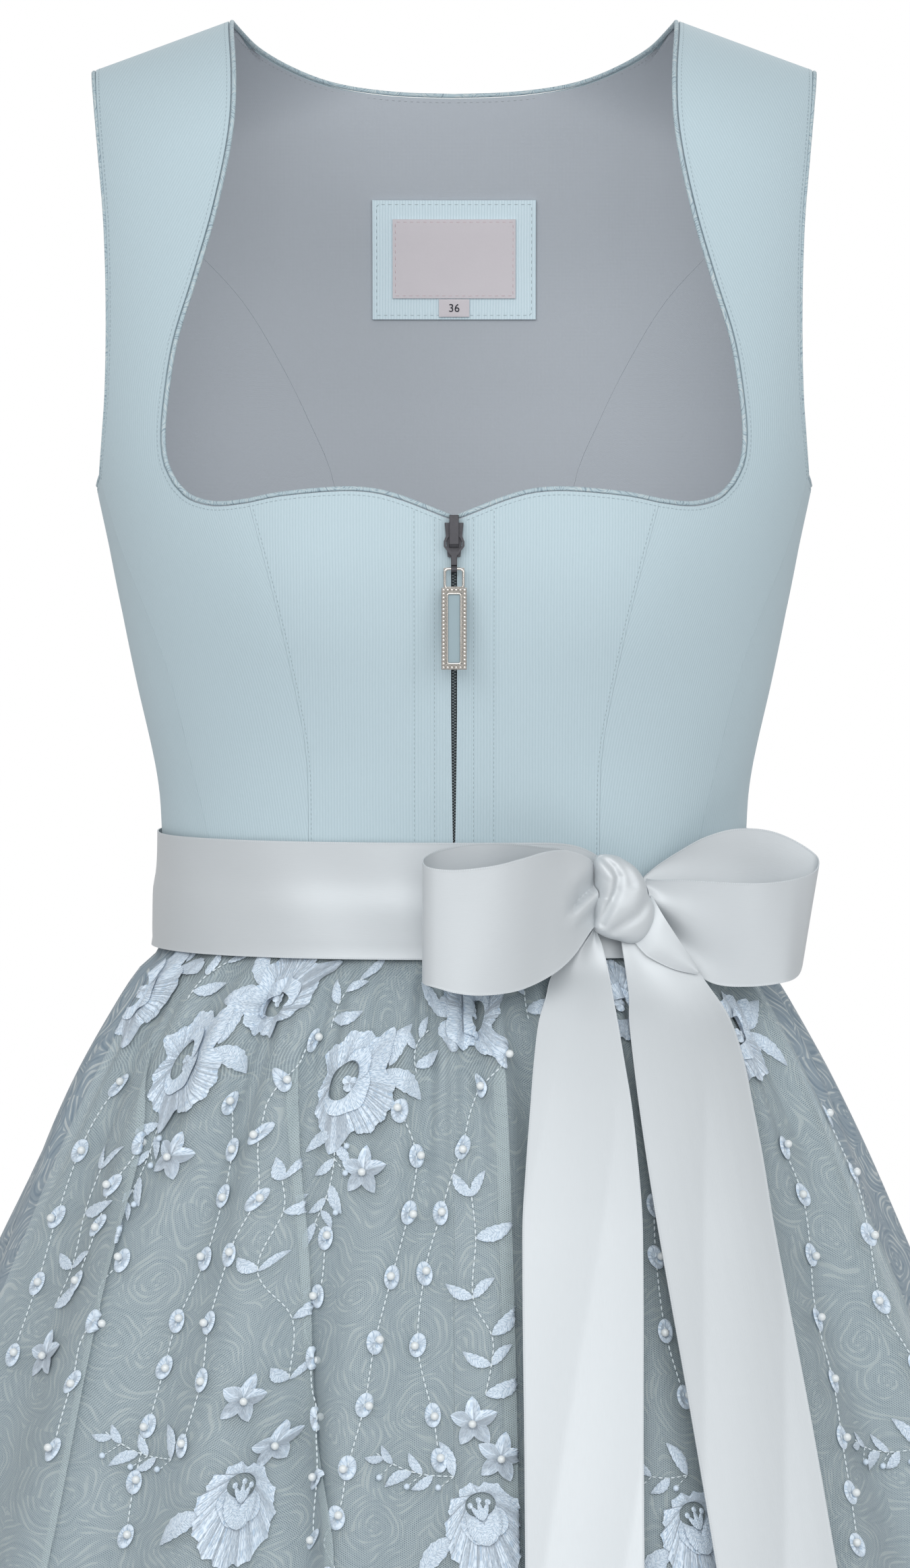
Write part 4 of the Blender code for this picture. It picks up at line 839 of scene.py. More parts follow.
def stitches_on(cutting, points, normals, stitch, gap, thread, lift=0.0):
    """Stitches laid along a line on a cloth."""
    reach = along_line(points)
    count = max(int(reach[-1] / (stitch + gap)), 1)
    starts = np.arange(count) * reach[-1] / count

    def at(places, values):
        return np.stack([np.interp(places, reach, values[:, axis]) for axis in range(3)], -1)

    first, last = at(starts, points), at(starts + stitch, points)
    normal = unit(at(starts + stitch / 2, normals))
    along = unit(last - first)
    across = unit(np.cross(normal, along))
    middle = (first + last) / 2 + normal * lift
    laid = []
    for index in range(count):
        frame_of = np.stack((along[index] * stitch / 2, across[index] * thread,
                             normal[index] * thread))
        laid.append((cutting, middle[index] + cutting.points @ frame_of))
    return laid


def tube(points, normals, radius, around=10, closed=False):
    """A round cord along a line, as a mesh whose cloth runs round and along it."""
    points = np.asarray(points, float)
    if closed:
        points = np.concatenate((points, points[:1]))
        normals = np.concatenate((normals, normals[:1]))
    reach = along_line(points)
    if closed:
        tangent = np.roll(points[:-1], -1, 0) - np.roll(points[:-1], 1, 0)
        tangent = np.concatenate((tangent, tangent[:1]))
    else:
        tangent = np.gradient(points, axis=0)
    along = unit(tangent)
    across = unit(np.cross(along, normals))
    upward = np.cross(across, along)
    rows = len(points) - 1

    def place(over, up):
        row = np.rint(up * rows).astype(int)
        angle = 2 * math.pi * over
        off = across[row] * np.cos(angle)[:, None] - upward[row] * np.sin(angle)[:, None]
        return points[row] + off * radius, np.stack((over * 2 * math.pi * radius, reach[row]), -1)

    mesh = sew_up(cloth_grid(around, rows, place), ends=not closed)
    return reworked(mesh, face_outward) if closed else mesh


# Finishes

class Wire:
    """A socket of a finish, so that a sum or product on it adds its Math node."""

    def __init__(self, finish, socket):
        self.finish = finish
        self.socket = socket

    def maths(self, operation, *others):
        values = dict(enumerate((self, *others)))
        return self.finish.node("ShaderNodeMath", values, {"operation": operation})

    def __add__(self, other):
        return self.maths("ADD", other)

    def __sub__(self, other):
        return self.maths("SUBTRACT", other)

    def __rsub__(self, other):
        return self.finish.node("ShaderNodeMath", {0: other, 1: self}, {"operation": "SUBTRACT"})

    def __mul__(self, other):
        return self.maths("MULTIPLY", other)

    __radd__ = __add__
    __rmul__ = __mul__


class Finish:
    """One material and its nodes."""

    def __init__(self, name, **constants):
        self.material = bpy.data.materials.new(name)
        self.material.use_nodes = True
        self.tree = self.material.node_tree
        self.shader = self.tree.nodes["Principled BSDF"]
        for socket, value in constants.items():
            self.shader.inputs[socket.replace("_", " ")].default_value = value

    def node(self, kind, inputs=(), settings=(), output=0):
        """Adds a node with its settings and the values or wires of its sockets."""
        node = self.tree.nodes.new(kind)
        for key, value in dict(settings).items():
            setattr(node, key, value)
        for key, value in dict(inputs).items():
            self.feed(node.inputs[key], value)
        return Wire(self, node.outputs[output])

    def feed(self, socket, value):
        """Gives a socket a wire or a plain value."""
        if isinstance(value, Wire):
            self.tree.links.new(value.socket, socket)
        else:
            if socket.type == "RGBA" and len(value) == 3:
                value = (*value, 1.0)
            socket.default_value = value

    def give(self, **values):
        """Feeds the shader's own sockets."""
        for socket, value in values.items():
            self.feed(self.shader.inputs[socket.replace("_", " ")], value)

    def cloth(self):
        """The cloth's own width and length, in metres."""
        return self.node("ShaderNodeUVMap", settings={"uv_map": "Cloth"})

    def place(self):
        """The place in the room, in metres."""
        return self.node("ShaderNodeTexCoord", output="Object")

    def parts(self, vector):
        """A vector's three numbers."""
        return [self.node("ShaderNodeSeparateXYZ", {0: vector}, output=axis) for axis in range(3)]

    def vector(self, x=0.0, y=0.0, z=0.0):
        """A vector from three numbers."""
        return self.node("ShaderNodeCombineXYZ", {0: x, 1: y, 2: z})

    def scaled(self, vector, x, y, z=1.0):
        """A vector stretched along its axes."""
        return self.node(
            "ShaderNodeVectorMath", {0: vector, 1: (x, y, z)}, {"operation": "MULTIPLY"}
        )

    def noise(self, vector, scale, detail=2.0, rough=0.5):
        """A cloudy value of about 0 to 1."""
        return self.node(
            "ShaderNodeTexNoise",
            {"Vector": vector, "Scale": scale, "Detail": detail, "Roughness": rough},
        )

    def wave(self, value, pitch, shift=0.0):
        """A soft ridge of 0 to 1 that repeats at a pitch."""
        turned = (value * (2 * math.pi / pitch) + shift).maths("SINE")
        return turned * 0.5 + 0.5

    def step(self, value, low, high):
        """A soft step from 0 at low to 1 at high."""
        return self.node(
            "ShaderNodeMapRange", {"Value": value, "From Min": low, "From Max": high},
            {"interpolation_type": "SMOOTHSTEP"},
        )

    def mix(self, share, first, second):
        """A colour between two colours."""
        return self.node(
            "ShaderNodeMix", {0: share, 6: first, 7: second}, {"data_type": "RGBA"}, output=2
        )

    def bump(self, height, distance, strength=1.0):
        """Small relief from a height of 0 to 1."""
        return self.node(
            "ShaderNodeBump", {"Height": height, "Distance": distance, "Strength": strength}
        )


def shaded(colour, share):
    """A colour made darker or lighter by a factor."""
    return tuple(min(value * share, 1.0) for value in colour)


def cord_finish(name, pitch, cord, groove):
    """Fine corded cotton: rounded cords with painted shade in the grooves between them, and a little
    fluff.
    """
    finish = Finish(name, Roughness=0.86, Sheen_Weight=0.12, Sheen_Roughness=0.5)
    across, up, _ = finish.parts(finish.cloth())
    threads = finish.noise(finish.vector(across * 900, up * 260), 1.0, 2.0)
    wander = finish.noise(finish.vector(across * 30, up * 30), 1.0, 1.0)
    cords = finish.wave(across + (wander - 0.5) * (0.5 * pitch), pitch)
    tone = finish.noise(finish.place(), 9.0, 3.0)
    cover = cords.maths("POWER", 0.6) * (0.72 + threads * 0.45)
    fluff = finish.noise(finish.vector(across * 2400, up * 700), 1.0, 2.0)
    # groove is painted shade: the cords' profile darkens the recesses between them
    colour = finish.mix(cover * 0.8 + fluff * 0.3, groove, cord)
    colour = finish.mix(finish.step(tone, 0.3, 0.8) * 0.10, colour, shaded(cord, 0.9))
    relief = cords * 0.6 + threads * 0.4 + fluff * 0.5
    finish.give(Base_Color=colour, Normal=finish.bump(relief, 0.00011, 0.6))
    return finish.material


def lining_finish(colours):
    """Smooth fine lining with a dull gloss."""
    finish = Finish("lining_cloth", Roughness=0.62, Sheen_Weight=0.1)
    across, up, _ = finish.parts(finish.cloth())
    weave = finish.wave(across, 0.0006) * 0.5 + finish.wave(up, 0.0006) * 0.5
    grain = finish.noise(finish.place(), 900.0, 2.0)
    cloud = finish.noise(finish.place(), 7.0, 2.0)
    colour = finish.mix(grain * 0.3 + cloud * 0.35, colours.lining, shaded(colours.lining, 0.86))
    finish.give(Base_Color=colour, Normal=finish.bump(weave + grain, 0.00005, 0.5))
    return finish.material


def print_finish(name, whorl, ground, colours):
    """Cotton printed with whorls of fine broken strokes."""
    finish = Finish(name, Roughness=0.8, Sheen_Weight=0.1)
    across, up, _ = finish.parts(finish.cloth())
    size = 1 / whorl
    drift = finish.noise(finish.vector(across * size, up * size), 1.3, 1.0)
    sway = finish.noise(finish.vector(across * size, up * size, 7.0), 1.3, 1.0)
    warped = finish.vector(across * size + (drift - 0.5) * 0.55, up * size + (sway - 0.5) * 0.55)
    middle = finish.node(
        "ShaderNodeTexVoronoi", {"Vector": warped, "Scale": 1.0, "Randomness": 0.75},
        {"voronoi_dimensions": "2D"}, output="Position",
    )
    away = finish.node("ShaderNodeVectorMath", {0: warped, 1: middle}, {"operation": "SUBTRACT"})
    x, y, _ = finish.parts(away)
    radius = (x * x + y * y).maths("SQRT")
    angle = y.maths("ARCTAN2", x)
    swirl = radius * 76.0 + angle * 2.0 + (drift - 0.5) * 12.0
    broken = finish.noise(finish.vector(radius * 13.0, angle * 1.2, drift * 4.0), 1.0, 1.0)
    fine = (swirl * 2.4).maths("SINE")
    pale = finish.step(swirl.maths("SINE") * 0.7 + (broken - 0.5) * 4.2, 0.30, 1.10)
    dark = finish.step((swirl + 2.6).maths("SINE") * 0.7 - (broken - 0.5) * 4.2, 0.2, 1.2)
    weave = finish.noise(finish.scaled(finish.cloth(), 2600, 2600), 1.0, 1.0)
    colour = finish.mix(dark * 0.82 + fine * 0.14, ground, colours.print_dark)
    colour = finish.mix(pale * 0.74 + fine * 0.12, colour, colours.print)
    colour = finish.mix(weave * 0.16, colour, shaded(ground, 0.75))
    finish.give(Base_Color=colour, Normal=finish.bump(weave, 0.00008, 0.6))
    return finish.material


def satin_finish(colours):
    """Satin: long floating threads with a soft gloss, and a fine woven edge."""
    finish = Finish("satin_ribbon_cloth", IOR=1.7, Metallic=0.20, Sheen_Weight=0.2,
                    Sheen_Roughness=0.5)
    across, along, _ = finish.parts(finish.cloth())
    threads = finish.noise(finish.vector(across * 2600, along * 160), 1.0, 2.0)
    edge = finish.step((across - 0.025).maths("ABSOLUTE"), 0.0240, 0.0245)
    knots = finish.wave(along, 0.0009) * edge
    cloud = finish.noise(finish.place(), 14.0, 1.0)
    colour = finish.mix(cloud * 0.10 + threads * 0.16, colours.satin, shaded(colours.satin, 0.86))
    colour = finish.mix(edge * 0.5, colour, shaded(colours.satin, 1.12))
    colour = finish.mix(knots * 0.30, colour, shaded(colours.satin, 0.72))
    finish.give(
        Base_Color=colour, Roughness=0.42 + threads * 0.10 + edge * 0.2,
        Normal=finish.bump(threads * 0.5 + edge + knots * 0.6, 0.00006, 0.7),
    )
    return finish.material


def net_finish(sizes, colours):
    """Fine net of six-sided holes."""
    finish = Finish("apron_net_cloth", Roughness=0.7, Sheen_Weight=0.15)
    across, up, _ = finish.parts(finish.cloth())
    turned = 7.2552 / sizes.net
    first = (across * turned).maths("COSINE")
    second = (across * (-turned / 2) + up * (turned * 0.8660)).maths("COSINE")
    third = (across * (-turned / 2) - up * (turned * 0.8660)).maths("COSINE")
    lattice = first + second + third
    cover = 0.77 - finish.step(lattice, -1.05, -0.35) * 0.56
    cloud = finish.noise(finish.place(), 60.0, 2.0)
    colour = finish.mix(cloud * 0.25, colours.net, shaded(colours.net, 0.85))
    finish.give(Base_Color=colour, Alpha=cover, Normal=finish.bump(cover, 0.0001, 0.5))
    return finish.material


def lace_finish(colours):
    """Satin stitch in a shiny thread: strokes side by side across each form."""
    finish = Finish("embroidery_thread", Roughness=0.5, Sheen_Weight=0.2)
    around, across, _ = finish.parts(finish.cloth())
    slip = finish.noise(finish.vector(around * 700, across * 120), 1.0, 2.0)
    strokes = finish.wave(around + slip * 0.0009, 0.00060)
    lay = finish.step(finish.noise(finish.vector(around * 2300, across * 430), 1.0, 1.0), 0.34, 0.56)
    colour = finish.mix(strokes * 0.26 + lay * 0.78, colours.lace_shade, colours.lace)
    finish.give(
        Base_Color=colour, Roughness=0.42 + slip * 0.2,
        Normal=finish.bump(strokes * 0.5 + lay, 0.00022, 0.8),
    )
    return finish.material


def plain_finish(name, colour, grain, depth, shade, rough, **constants):
    """One colour with a fine uneven grain in colour, gloss and relief."""
    finish = Finish(name, **constants)
    speck = finish.noise(finish.place(), grain, 2.0)
    cloud = finish.noise(finish.place(), grain / 12, 2.0)
    finish.give(
        Base_Color=finish.mix(speck * 0.4 + cloud * 0.4, colour, shaded(colour, shade)),
        Roughness=rough + (cloud - 0.5) * 0.14, Normal=finish.bump(speck, depth, 0.6),
    )
    return finish.material


FINISHES = {}


def finish_for(name):
    """A finish of the dirndl, made on first use."""
    if name in FINISHES:
        return FINISHES[name]
    sizes, colours = bpy.context.scene.dirndl_sizes, bpy.context.scene.dirndl_colours
    woven = {
        "cord": (cord_finish, "bodice_cord_cloth", sizes.rib, colours.cord, colours.cord_shade),
        # the patch's lighter colours are painted light for the shade inside the back
        "patch_cord": (cord_finish, "patch_cord_cloth", sizes.patch_rib, colours.patch,
                       colours.patch_shade),
        "lining": (lining_finish, colours),
        "print": (print_finish, "skirt_print_cloth", sizes.whorl, colours.skirt, colours),
        # the piping's print takes the cords' groove colour as its own ground
        "piping": (print_finish, "piping_print_cloth", 0.012, colours.cord_shade, colours),
        "satin": (satin_finish, colours),
        "net": (net_finish, sizes, colours),
        "lace": (lace_finish, colours),
    }
    plain = {  # material, colour, grain, depth of the relief, shade, roughness
        "pearl": ("sewn_pearl", colours.pearl, 500.0, 0.00001, 0.9, 0.22),
        # The thread is a darker copy of the cord colour: painted shade of the dents the stitches make
        "thread": ("sewing_thread", shaded(colours.cord, 0.70), 1500.0, 0.00005, 0.8, 0.6),
        "dark_thread": ("lining_thread", shaded(colours.lining, 0.6), 1500.0, 0.00005, 0.8, 0.7),
        "floss": ("chain_thread", colours.floss, 1500.0, 0.00005, 0.86, 0.5),
        "metal": ("zip_dark_metal", colours.metal, 700.0, 0.00002, 0.55, 0.36),
        "silver": ("pendant_silver", colours.silver, 500.0, 0.00002, 0.6, 0.26),
        "plate": ("pendant_back_plate", shaded(colours.silver, 0.45), 500.0, 0.00002, 0.7, 0.34),
        "inlay": ("pendant_flat_inlay", colours.inlay, 300.0, 0.00001, 0.92, 0.38),
        "tape": ("zip_tape", seen(116, 128, 134), 1400.0, 0.00008, 0.6, 0.85),
        "teeth": ("zip_teeth_grey", seen(108, 118, 122), 900.0, 0.00002, 0.7, 0.5),
        "label": ("woven_label", colours.label, 1100.0, 0.00006, 0.93, 0.66),
        "label_thread": ("label_stitches", colours.label_thread, 1500.0, 0.00005, 0.8, 0.6),
        "number": ("size_number", seen(48, 50, 60), 1500.0, 0.00005, 0.8, 0.8),
        "floor": ("studio_floor", (0.86, 0.86, 0.87), 6.0, 0.0001, 0.97, 0.9),
    }
    gloss = {
        "pearl": {"Coat_Weight": 0.4}, "inlay": {"Coat_Weight": 0.3}, "metal": {"Metallic": 1.0},
        "silver": {"Metallic": 1.0}, "plate": {"Metallic": 0.8},
    }
    if name in plain:
        FINISHES[name] = plain_finish(*plain[name], **gloss.get(name, {}))
    else:
        maker, *facts = woven[name]
        FINISHES[name] = maker(*facts)
    return FINISHES[name]


# The bodice

def net_of(rows, first_row=0, first_column=0):
    """A net's places by row and column."""
    return {
        (r, c): tuple(place)
        for r, row in enumerate(rows, first_row) for c, place in enumerate(row, first_column)
    }


class DIRNDL_OT_bodice(bpy.types.Operator):
    """Cuts the bodice panels from corded cloth, lined inside"""

    bl_idname = "dirndl.bodice"
    bl_label = "Bodice"

    def execute(self, context):
        lines = seam_lines()
        edge, seam = PIPED_STEP, SEAM_STEP
        princess, side = lines["princess"], lines["side"]

        def pair(name, *facts):
            panel(f"{name}_left", *facts)
            panel(f"{name}_right", *facts, mirrored=True)

        def centre_amount(a, b):
            if a[1] == b[1] == 0:
                up = np.clip(((a[0] + b[0]) / 2 / LOW_ROWS - 0.08) / 0.42, 0, 1)
                return ZIP_LOW_STEP + (ZIP_OPENING - ZIP_LOW_STEP) * up ** 0.7
            if a[0] == b[0]:
                return edge if a[0] == LOW_ROWS else 0.0
            return seam

        centre = between(on_form((0.0, WAIST_HEIGHT)), lines["neck_top"][0], LOW_ROWS)
        waist = waist_line(centre[0], princess[0], CENTRE_COLUMNS)
        rows = patch(waist, lines["neck_top"], centre, princess)
        pair("bodice_front_centre", net_of(rows), 0, centre_amount, False)

        shoulder_row = LOW_ROWS + STRAP_ROWS

        def side_amount(a, b):
            if a[0] == b[0]:
                return {0: 0.0, shoulder_row: seam}.get(a[0], edge)
            return edge if max(a[0], b[0]) > LOW_ROWS else seam

        base = between(lines["neck_low"][-1], side[-1], STRAP_COLUMNS)
        top = np.concatenate((lines["neck_low"], base[1:]))
        waist = waist_line(princess[0], side[0], len(top) - 1)
        net = net_of(patch(waist, top, princess, side))
        rows = patch(base, lines["shoulder_front"], lines["neck_side"], lines["arm_front"])
        net.update(net_of(rows[1:], LOW_ROWS + 1, NECK_LOW_COLUMNS))
        pair("bodice_front_side", net, NECK_LOW_COLUMNS, side_amount, True)

        def back_side_amount(a, b):
            if a[0] == b[0]:
                return edge if a[0] == LOW_ROWS else 0.0
            return seam

        waist = waist_line(side[0], lines["back_princess"][0], BACK_SIDE_COLUMNS)
        rows = patch(waist, lines["back_arm_low"], side, lines["back_princess"])
        pair("bodice_back_side", net_of(rows), BACK_SIDE_COLUMNS, back_side_amount, False)

        outer = np.concatenate((lines["back_princess"], lines["back_arm_high"][1:]))
        low = on_form((0.0, WAIST_HEIGHT), front=False)
        centre = between(low, lines["back_neck"][0], len(outer) - 1)
        top = np.concatenate((lines["back_neck"], lines["shoulder_back"][1:]))
        waist = waist_line(low, lines["back_princess"][0], len(top) - 1)
        net = net_of(patch(waist, top, centre, outer, fade=3.0, rounds=10))
        net.update({(r, -c): (2 * math.pi - turn, down) for (r, c), (turn, down) in net.items()
                    if c > 0})

        def back_amount(a, b):
            if a[0] == b[0]:
                if a[0] == 0:
                    return 0.0
                return edge if max(abs(a[1]), abs(b[1])) <= BACK_NECK_COLUMNS else seam
            return edge if max(a[0], b[0]) > LOW_ROWS else seam

        panel("bodice_back_centre", net, 0, back_amount, False)
        return {"FINISHED"}


def edge_lines():
    """The neck's and the armhole's edge on the wearer's left, with the outward directions."""
    lines = seam_lines()
    neck = np.concatenate((
        lines["neck_top"], lines["neck_low"][1:], lines["neck_side"][1:],
        lines["back_neck"][::-1][1:],
    ))
    front = len(lines["neck_top"]) + len(lines["neck_low"]) + len(lines["neck_side"]) - 2
    arm = np.concatenate((
        lines["arm_front"], lines["back_arm_high"][::-1][1:], lines["back_arm_low"][::-1][1:-1],
    ))
    return (form_points(neck), form_normals(neck)), (form_points(arm), form_normals(arm)), front


def flipped(points):
    """Places or directions on the wearer's right hand side."""
    return points * np.array((-1.0, 1.0, 1.0))


def both_sides(*values):
    """The name and the values of the wearer's left hand side, then of the right."""
    yield ("left", *values)
    yield ("right", *map(flipped, values))


class DIRNDL_OT_piping(bpy.types.Operator):
    """Lays piping of the skirt's print round the neck and both armholes"""

    bl_idname = "dirndl.piping"
    bl_label = "Piping"

    def execute(self, context):
        (points, normals), (arm, arm_normals), _ = edge_lines()
        points = points - normals * (CLOTH_WALL / 2)
        points[0] += unit(points[1] - points[0]) * (ZIP_OPENING + SEAM_GAP)
        around = np.concatenate((points, flipped(points)[::-1][1:]))
        outward = np.concatenate((normals, flipped(normals)[::-1][1:]))
        pieces = [("piping_neck", tube(around, outward, PIPING_RADIUS))]
        for side, edge, outward in both_sides(arm - arm_normals * (CLOTH_WALL / 2), arm_normals):
            pieces.append((f"piping_armhole_{side}", tube(edge, outward, PIPING_RADIUS, closed=True)))
        for name, mesh in pieces:
            finish_piece(name, mesh, "piping", slot="piping_print", solid=name)
        return {"FINISHED"}


def beside(points, normals, distance):
    """A line beside a line on the cloth, to the right of its run as seen from outside."""
    along = unit(np.gradient(points, axis=0))
    return points + unit(np.cross(along, normals)) * distance


class DIRNDL_OT_stitching(bpy.types.Operator):
    """Sews the visible stitching of the bodice"""

    bl_idname = "dirndl.stitching"
    bl_label = "Bodice stitching"

    def execute(self, context):
        sizes = context.scene.dirndl_sizes
        stitch = (sizes.stitch, sizes.stitch_gap, sizes.thread)
        cutting = ball(1)
        (neck, neck_out), (arm, arm_out), front = edge_lines()
        lines = seam_lines()
        runs = [
            (beside(neck, neck_out, sizes.stitch_edge)[1:front], neck_out[1:front]),
            (beside(neck, neck_out, BACK_STITCH_EDGE)[front:], neck_out[front:]),
            (beside(arm, arm_out, -sizes.stitch_edge), arm_out),
        ]
        for side in ZIP_STITCH_SIDES:
            top = np.interp(side, *np.transpose(FRONT_NECK_TOP)) - 0.003
            heights = np.linspace(WAIST_HEIGHT + 0.004, top, 60)
            places = on_form(np.stack((np.full(60, side), heights), -1))
            runs.append((form_points(places), form_normals(places)))
        for name, way in (("princess", -1), ("back_princess", 1)):
            points, normals = form_points(lines[name]), form_normals(lines[name])
            runs.append((beside(points, normals, way * PRINCESS_STITCH_SIDE)[:-1], normals[:-1]))
        laid = []
        for run in runs:
            for _, points, normals in both_sides(*run):
                laid += stitches_on(cutting, points, normals, *stitch)
        lay_down("stitching_bodice", laid, "thread")

        laid = []
        inner = beside(neck, neck_out, sizes.stitch_edge)[front:]
        inner = inner - neck_out[front:] * (CLOTH_WALL + 0.00005)
        for _, points, normals in both_sides(inner, -neck_out[front:]):
            laid += stitches_on(cutting, points, normals, LINING_STITCH, LINING_STITCH_GAP,
                                sizes.thread * 0.7)
        lay_down("stitching_lining", laid, "dark_thread")
        return {"FINISHED"}


# The skirt and the apron

def skirt_points(turn, height):
    """The skirt's outer face."""
    points, outward = ring(turn, height)
    return points + outward * skirt_fold(turn, height)[..., None]


class DIRNDL_OT_skirt(bpy.types.Operator):
    """Hangs the four gathered panels of the printed skirt"""

    bl_idname = "dirndl.skirt"
    bl_label = "Skirt"

    def execute(self, context):
        names = ("skirt_front_left", "skirt_back_left", "skirt_back_right", "skirt_front_right")
        for quarter, name in enumerate(names):
            def place(over, up, quarter=quarter):
                turn = (quarter + over * 0.9988 + 0.0006) * math.pi / 2
                height = SKIRT_HEM + (SKIRT_TOP - SKIRT_HEM) * up ** 0.82
                cloth = np.stack((turn * CLOTH_GIRTH, height * 1.08), -1)
                return skirt_points(turn, height), cloth

            cloth_piece(name, SKIRT_GRID, place, "print", "skirt_cloth", "gathered", "ribbon_waist",
                        wall=SKIRT_WALL * 0.6, fullness=1.12)
        return {"FINISHED"}


def apron_points(turn, height):
    """The apron's face: folds standing off the skirt, and pleats lying over to one side."""
    turn, height = np.broadcast_arrays(np.asarray(turn, float), np.asarray(height, float))
    _, half, front = SKIRT_ROWS[:, :3].T
    rate = np.interp(height, SKIRT_ROWS[:, 0], (half + front) / 2)
    shown, stand = turn, np.zeros_like(turn)
    for pleat in APRON_PLEATS:
        levels, degrees = np.transpose(sorted(pleat["edge"]))
        edge = np.radians(smooth_rows(levels, degrees, height))
        grown = ease(pleat["from"], pleat["from"] - 0.05, height)
        carry = pleat["carry"] * (0.25 + 0.75 * grown) * grown
        root = pleat["root"]
        start = edge - (carry + 0.12 * root) / rate
        swell = np.exp(-(((turn - start) * rate) / root) ** 2)
        shown = shown + carry * swell / rate
        stand = stand + pleat["stand"] * swell * grown
    points, outward = ring(shown, height)
    standing = skirt_fold(shown, height) + apron_fold(shown, height) + APRON_WALL * 0.7 + stand
    return points + outward * standing[..., None]


def reach_along(net):
    """How far along the cloth each point of a net is from its row's first one, seen from above."""
    steps = np.linalg.norm(np.diff(net[..., :2], axis=1), axis=-1)
    return np.concatenate((np.zeros((len(net), 1)), np.cumsum(steps, axis=1)), axis=1)


class ApronCloth:
    """The apron as flat cloth: finds the place in the room of a place on the cloth."""

    def __init__(self, rows=150, columns=1100):
        self.heights = np.linspace(APRON_HEM, APRON_TOP, rows)
        self.turns = np.linspace(-APRON_REACH, APRON_REACH, columns)
        turn, height = np.meshgrid(self.turns, self.heights)
        self.points = apron_points(turn, height)
        self.reach = reach_along(self.points)

    def reach_at(self, turn, height):
        """How far along the cloth, from its right edge, a turn lies at a height."""
        row = (height - self.heights[0]) / (self.heights[1] - self.heights[0])
        row = np.clip(row, 0, len(self.heights) - 1.001)
        column = (turn - self.turns[0]) / (self.turns[1] - self.turns[0])
        column = np.clip(column, 0, len(self.turns) - 1.001)
        r, c = row.astype(int), column.astype(int)
        low = self.reach[r, c] * (1 - column + c) + self.reach[r, c + 1] * (column - c)
        high = self.reach[r + 1, c] * (1 - column + c) + self.reach[r + 1, c + 1] * (column - c)
        return low * (1 - row + r) + high * (row - r)

    def spot(self, degrees, height):
        """The cloth's own turn of the topmost layer that shows at a turn and height."""
        row = int(np.abs(self.heights - height).argmin())
        points = self.points[row]
        shown = np.degrees(np.arctan2(points[:, 0], -points[:, 1]))
        near = np.abs(shown - degrees) < 0.35
        if not near.any():
            return math.radians(degrees)
        reach = np.linalg.norm(points[:, :2], axis=-1)
        return float(self.turns[np.where(near, reach, 0.0).argmax()])

    def laid(self, anchor, height, flat):
        """Points given as across, up and off the cloth from an anchor, as places in the room."""
        level = np.clip(height + flat[:, 1], APRON_HEM + 0.0005, APRON_TOP - 0.0005)
        goal = self.reach_at(np.full(len(flat), anchor), level) + flat[:, 0]
        low = np.full(len(flat), -APRON_REACH + 0.002)
        high = -low
        for _ in range(17):
            middle = (low + high) / 2
            beyond = self.reach_at(middle, level) > goal
            low, high = np.where(beyond, low, middle), np.where(beyond, middle, high)
        turn = (low + high) / 2
        points = apron_points(turn, level)
        along = apron_points(turn + 0.0015, level) - apron_points(turn - 0.0015, level)
        upward = apron_points(turn, level + 0.0006) - apron_points(turn, level - 0.0006)
        outward = unit(np.cross(along, upward))
        return points + outward * flat[:, 2:], outward


class DIRNDL_OT_apron(bpy.types.Operator):
    """Hangs the sheer apron of net"""

    bl_idname = "dirndl.apron"
    bl_label = "Apron"

    def execute(self, context):
        columns, rows = APRON_GRID

        def place(over, up):
            turn = (over * 2 - 1) * APRON_REACH
            height = APRON_HEM + (APRON_TOP - APRON_HEM) * up ** 0.85
            points = apron_points(turn, height)
            reach = reach_along(points.reshape(rows + 1, columns + 1, 3))
            reach -= reach[:, columns // 2, None]
            return points, np.stack((reach.ravel(), height), -1)

        cloth_piece("apron", APRON_GRID, place, "net", "apron_tulle", "gathered",
                    ["skirt_front_left", "skirt_front_right"], fullness=1.05)
        return {"FINISHED"}


# The ribbon and its bow

class DIRNDL_OT_ribbon(bpy.types.Operator):
    """Ties the satin ribbon round the waist"""

    bl_idname = "dirndl.ribbon"
    bl_label = "Ribbon"

    def execute(self, context):
        def place(over, up):
            turn = over * 2 * math.pi
            height = RIBBON_ROWS[0, 0] + (RIBBON_ROWS[-1, 0] - RIBBON_ROWS[0, 0]) * up
            off = columns_at(RIBBON_ROWS, height, 1, 2)[0] + RIBBON_WALL
            behind_bow = np.exp(-((turn - RIBBON_DIP_TURN) / RIBBON_DIP_SPREAD) ** 2)
            height = height - RIBBON_DIP * behind_bow * up
            across = up * 2 - 1
            slack = 0.0006 * (1 + np.sin(5 * turn + 1.4 * across) * np.sin(9 * turn + 0.6))
            bend = 0.0009 * np.exp(-((turn - 0.32) / 0.10) ** 2) * np.sin(2.2 * across + 0.5)
            points, outward = ring(turn, height)
            points = points + outward * (off + slack * (1 - across ** 2 * 0.4) + bend)[:, None]
            return points, np.stack((up * RIBBON_WIDTH, turn * 0.115), -1)

        cloth_piece("ribbon_waist", RIBBON_GRID, place, "satin", "satin", "stretched",
                    ["bodice_front_centre_left", "apron"], RIBBON_WALL * 0.6, closed=True)
        return {"FINISHED"}


def lofted(lines, over, up):
    """Places on a smooth sheet through cross lines of points: over along each, up across them."""
    lines = np.asarray(lines, float)
    reach = along_line(lines.mean(1))
    rows = smooth_rows(reach, lines, up * reach[-1])
    share = np.clip(over, 0, 1) * (lines.shape[1] - 1)
    index = np.minimum(share.astype(int), lines.shape[1] - 2)
    part = (share - index)[:, None]
    pick = np.arange(len(over))
    return rows[pick, index] * (1 - part) + rows[pick, index + 1] * part, reach[-1]


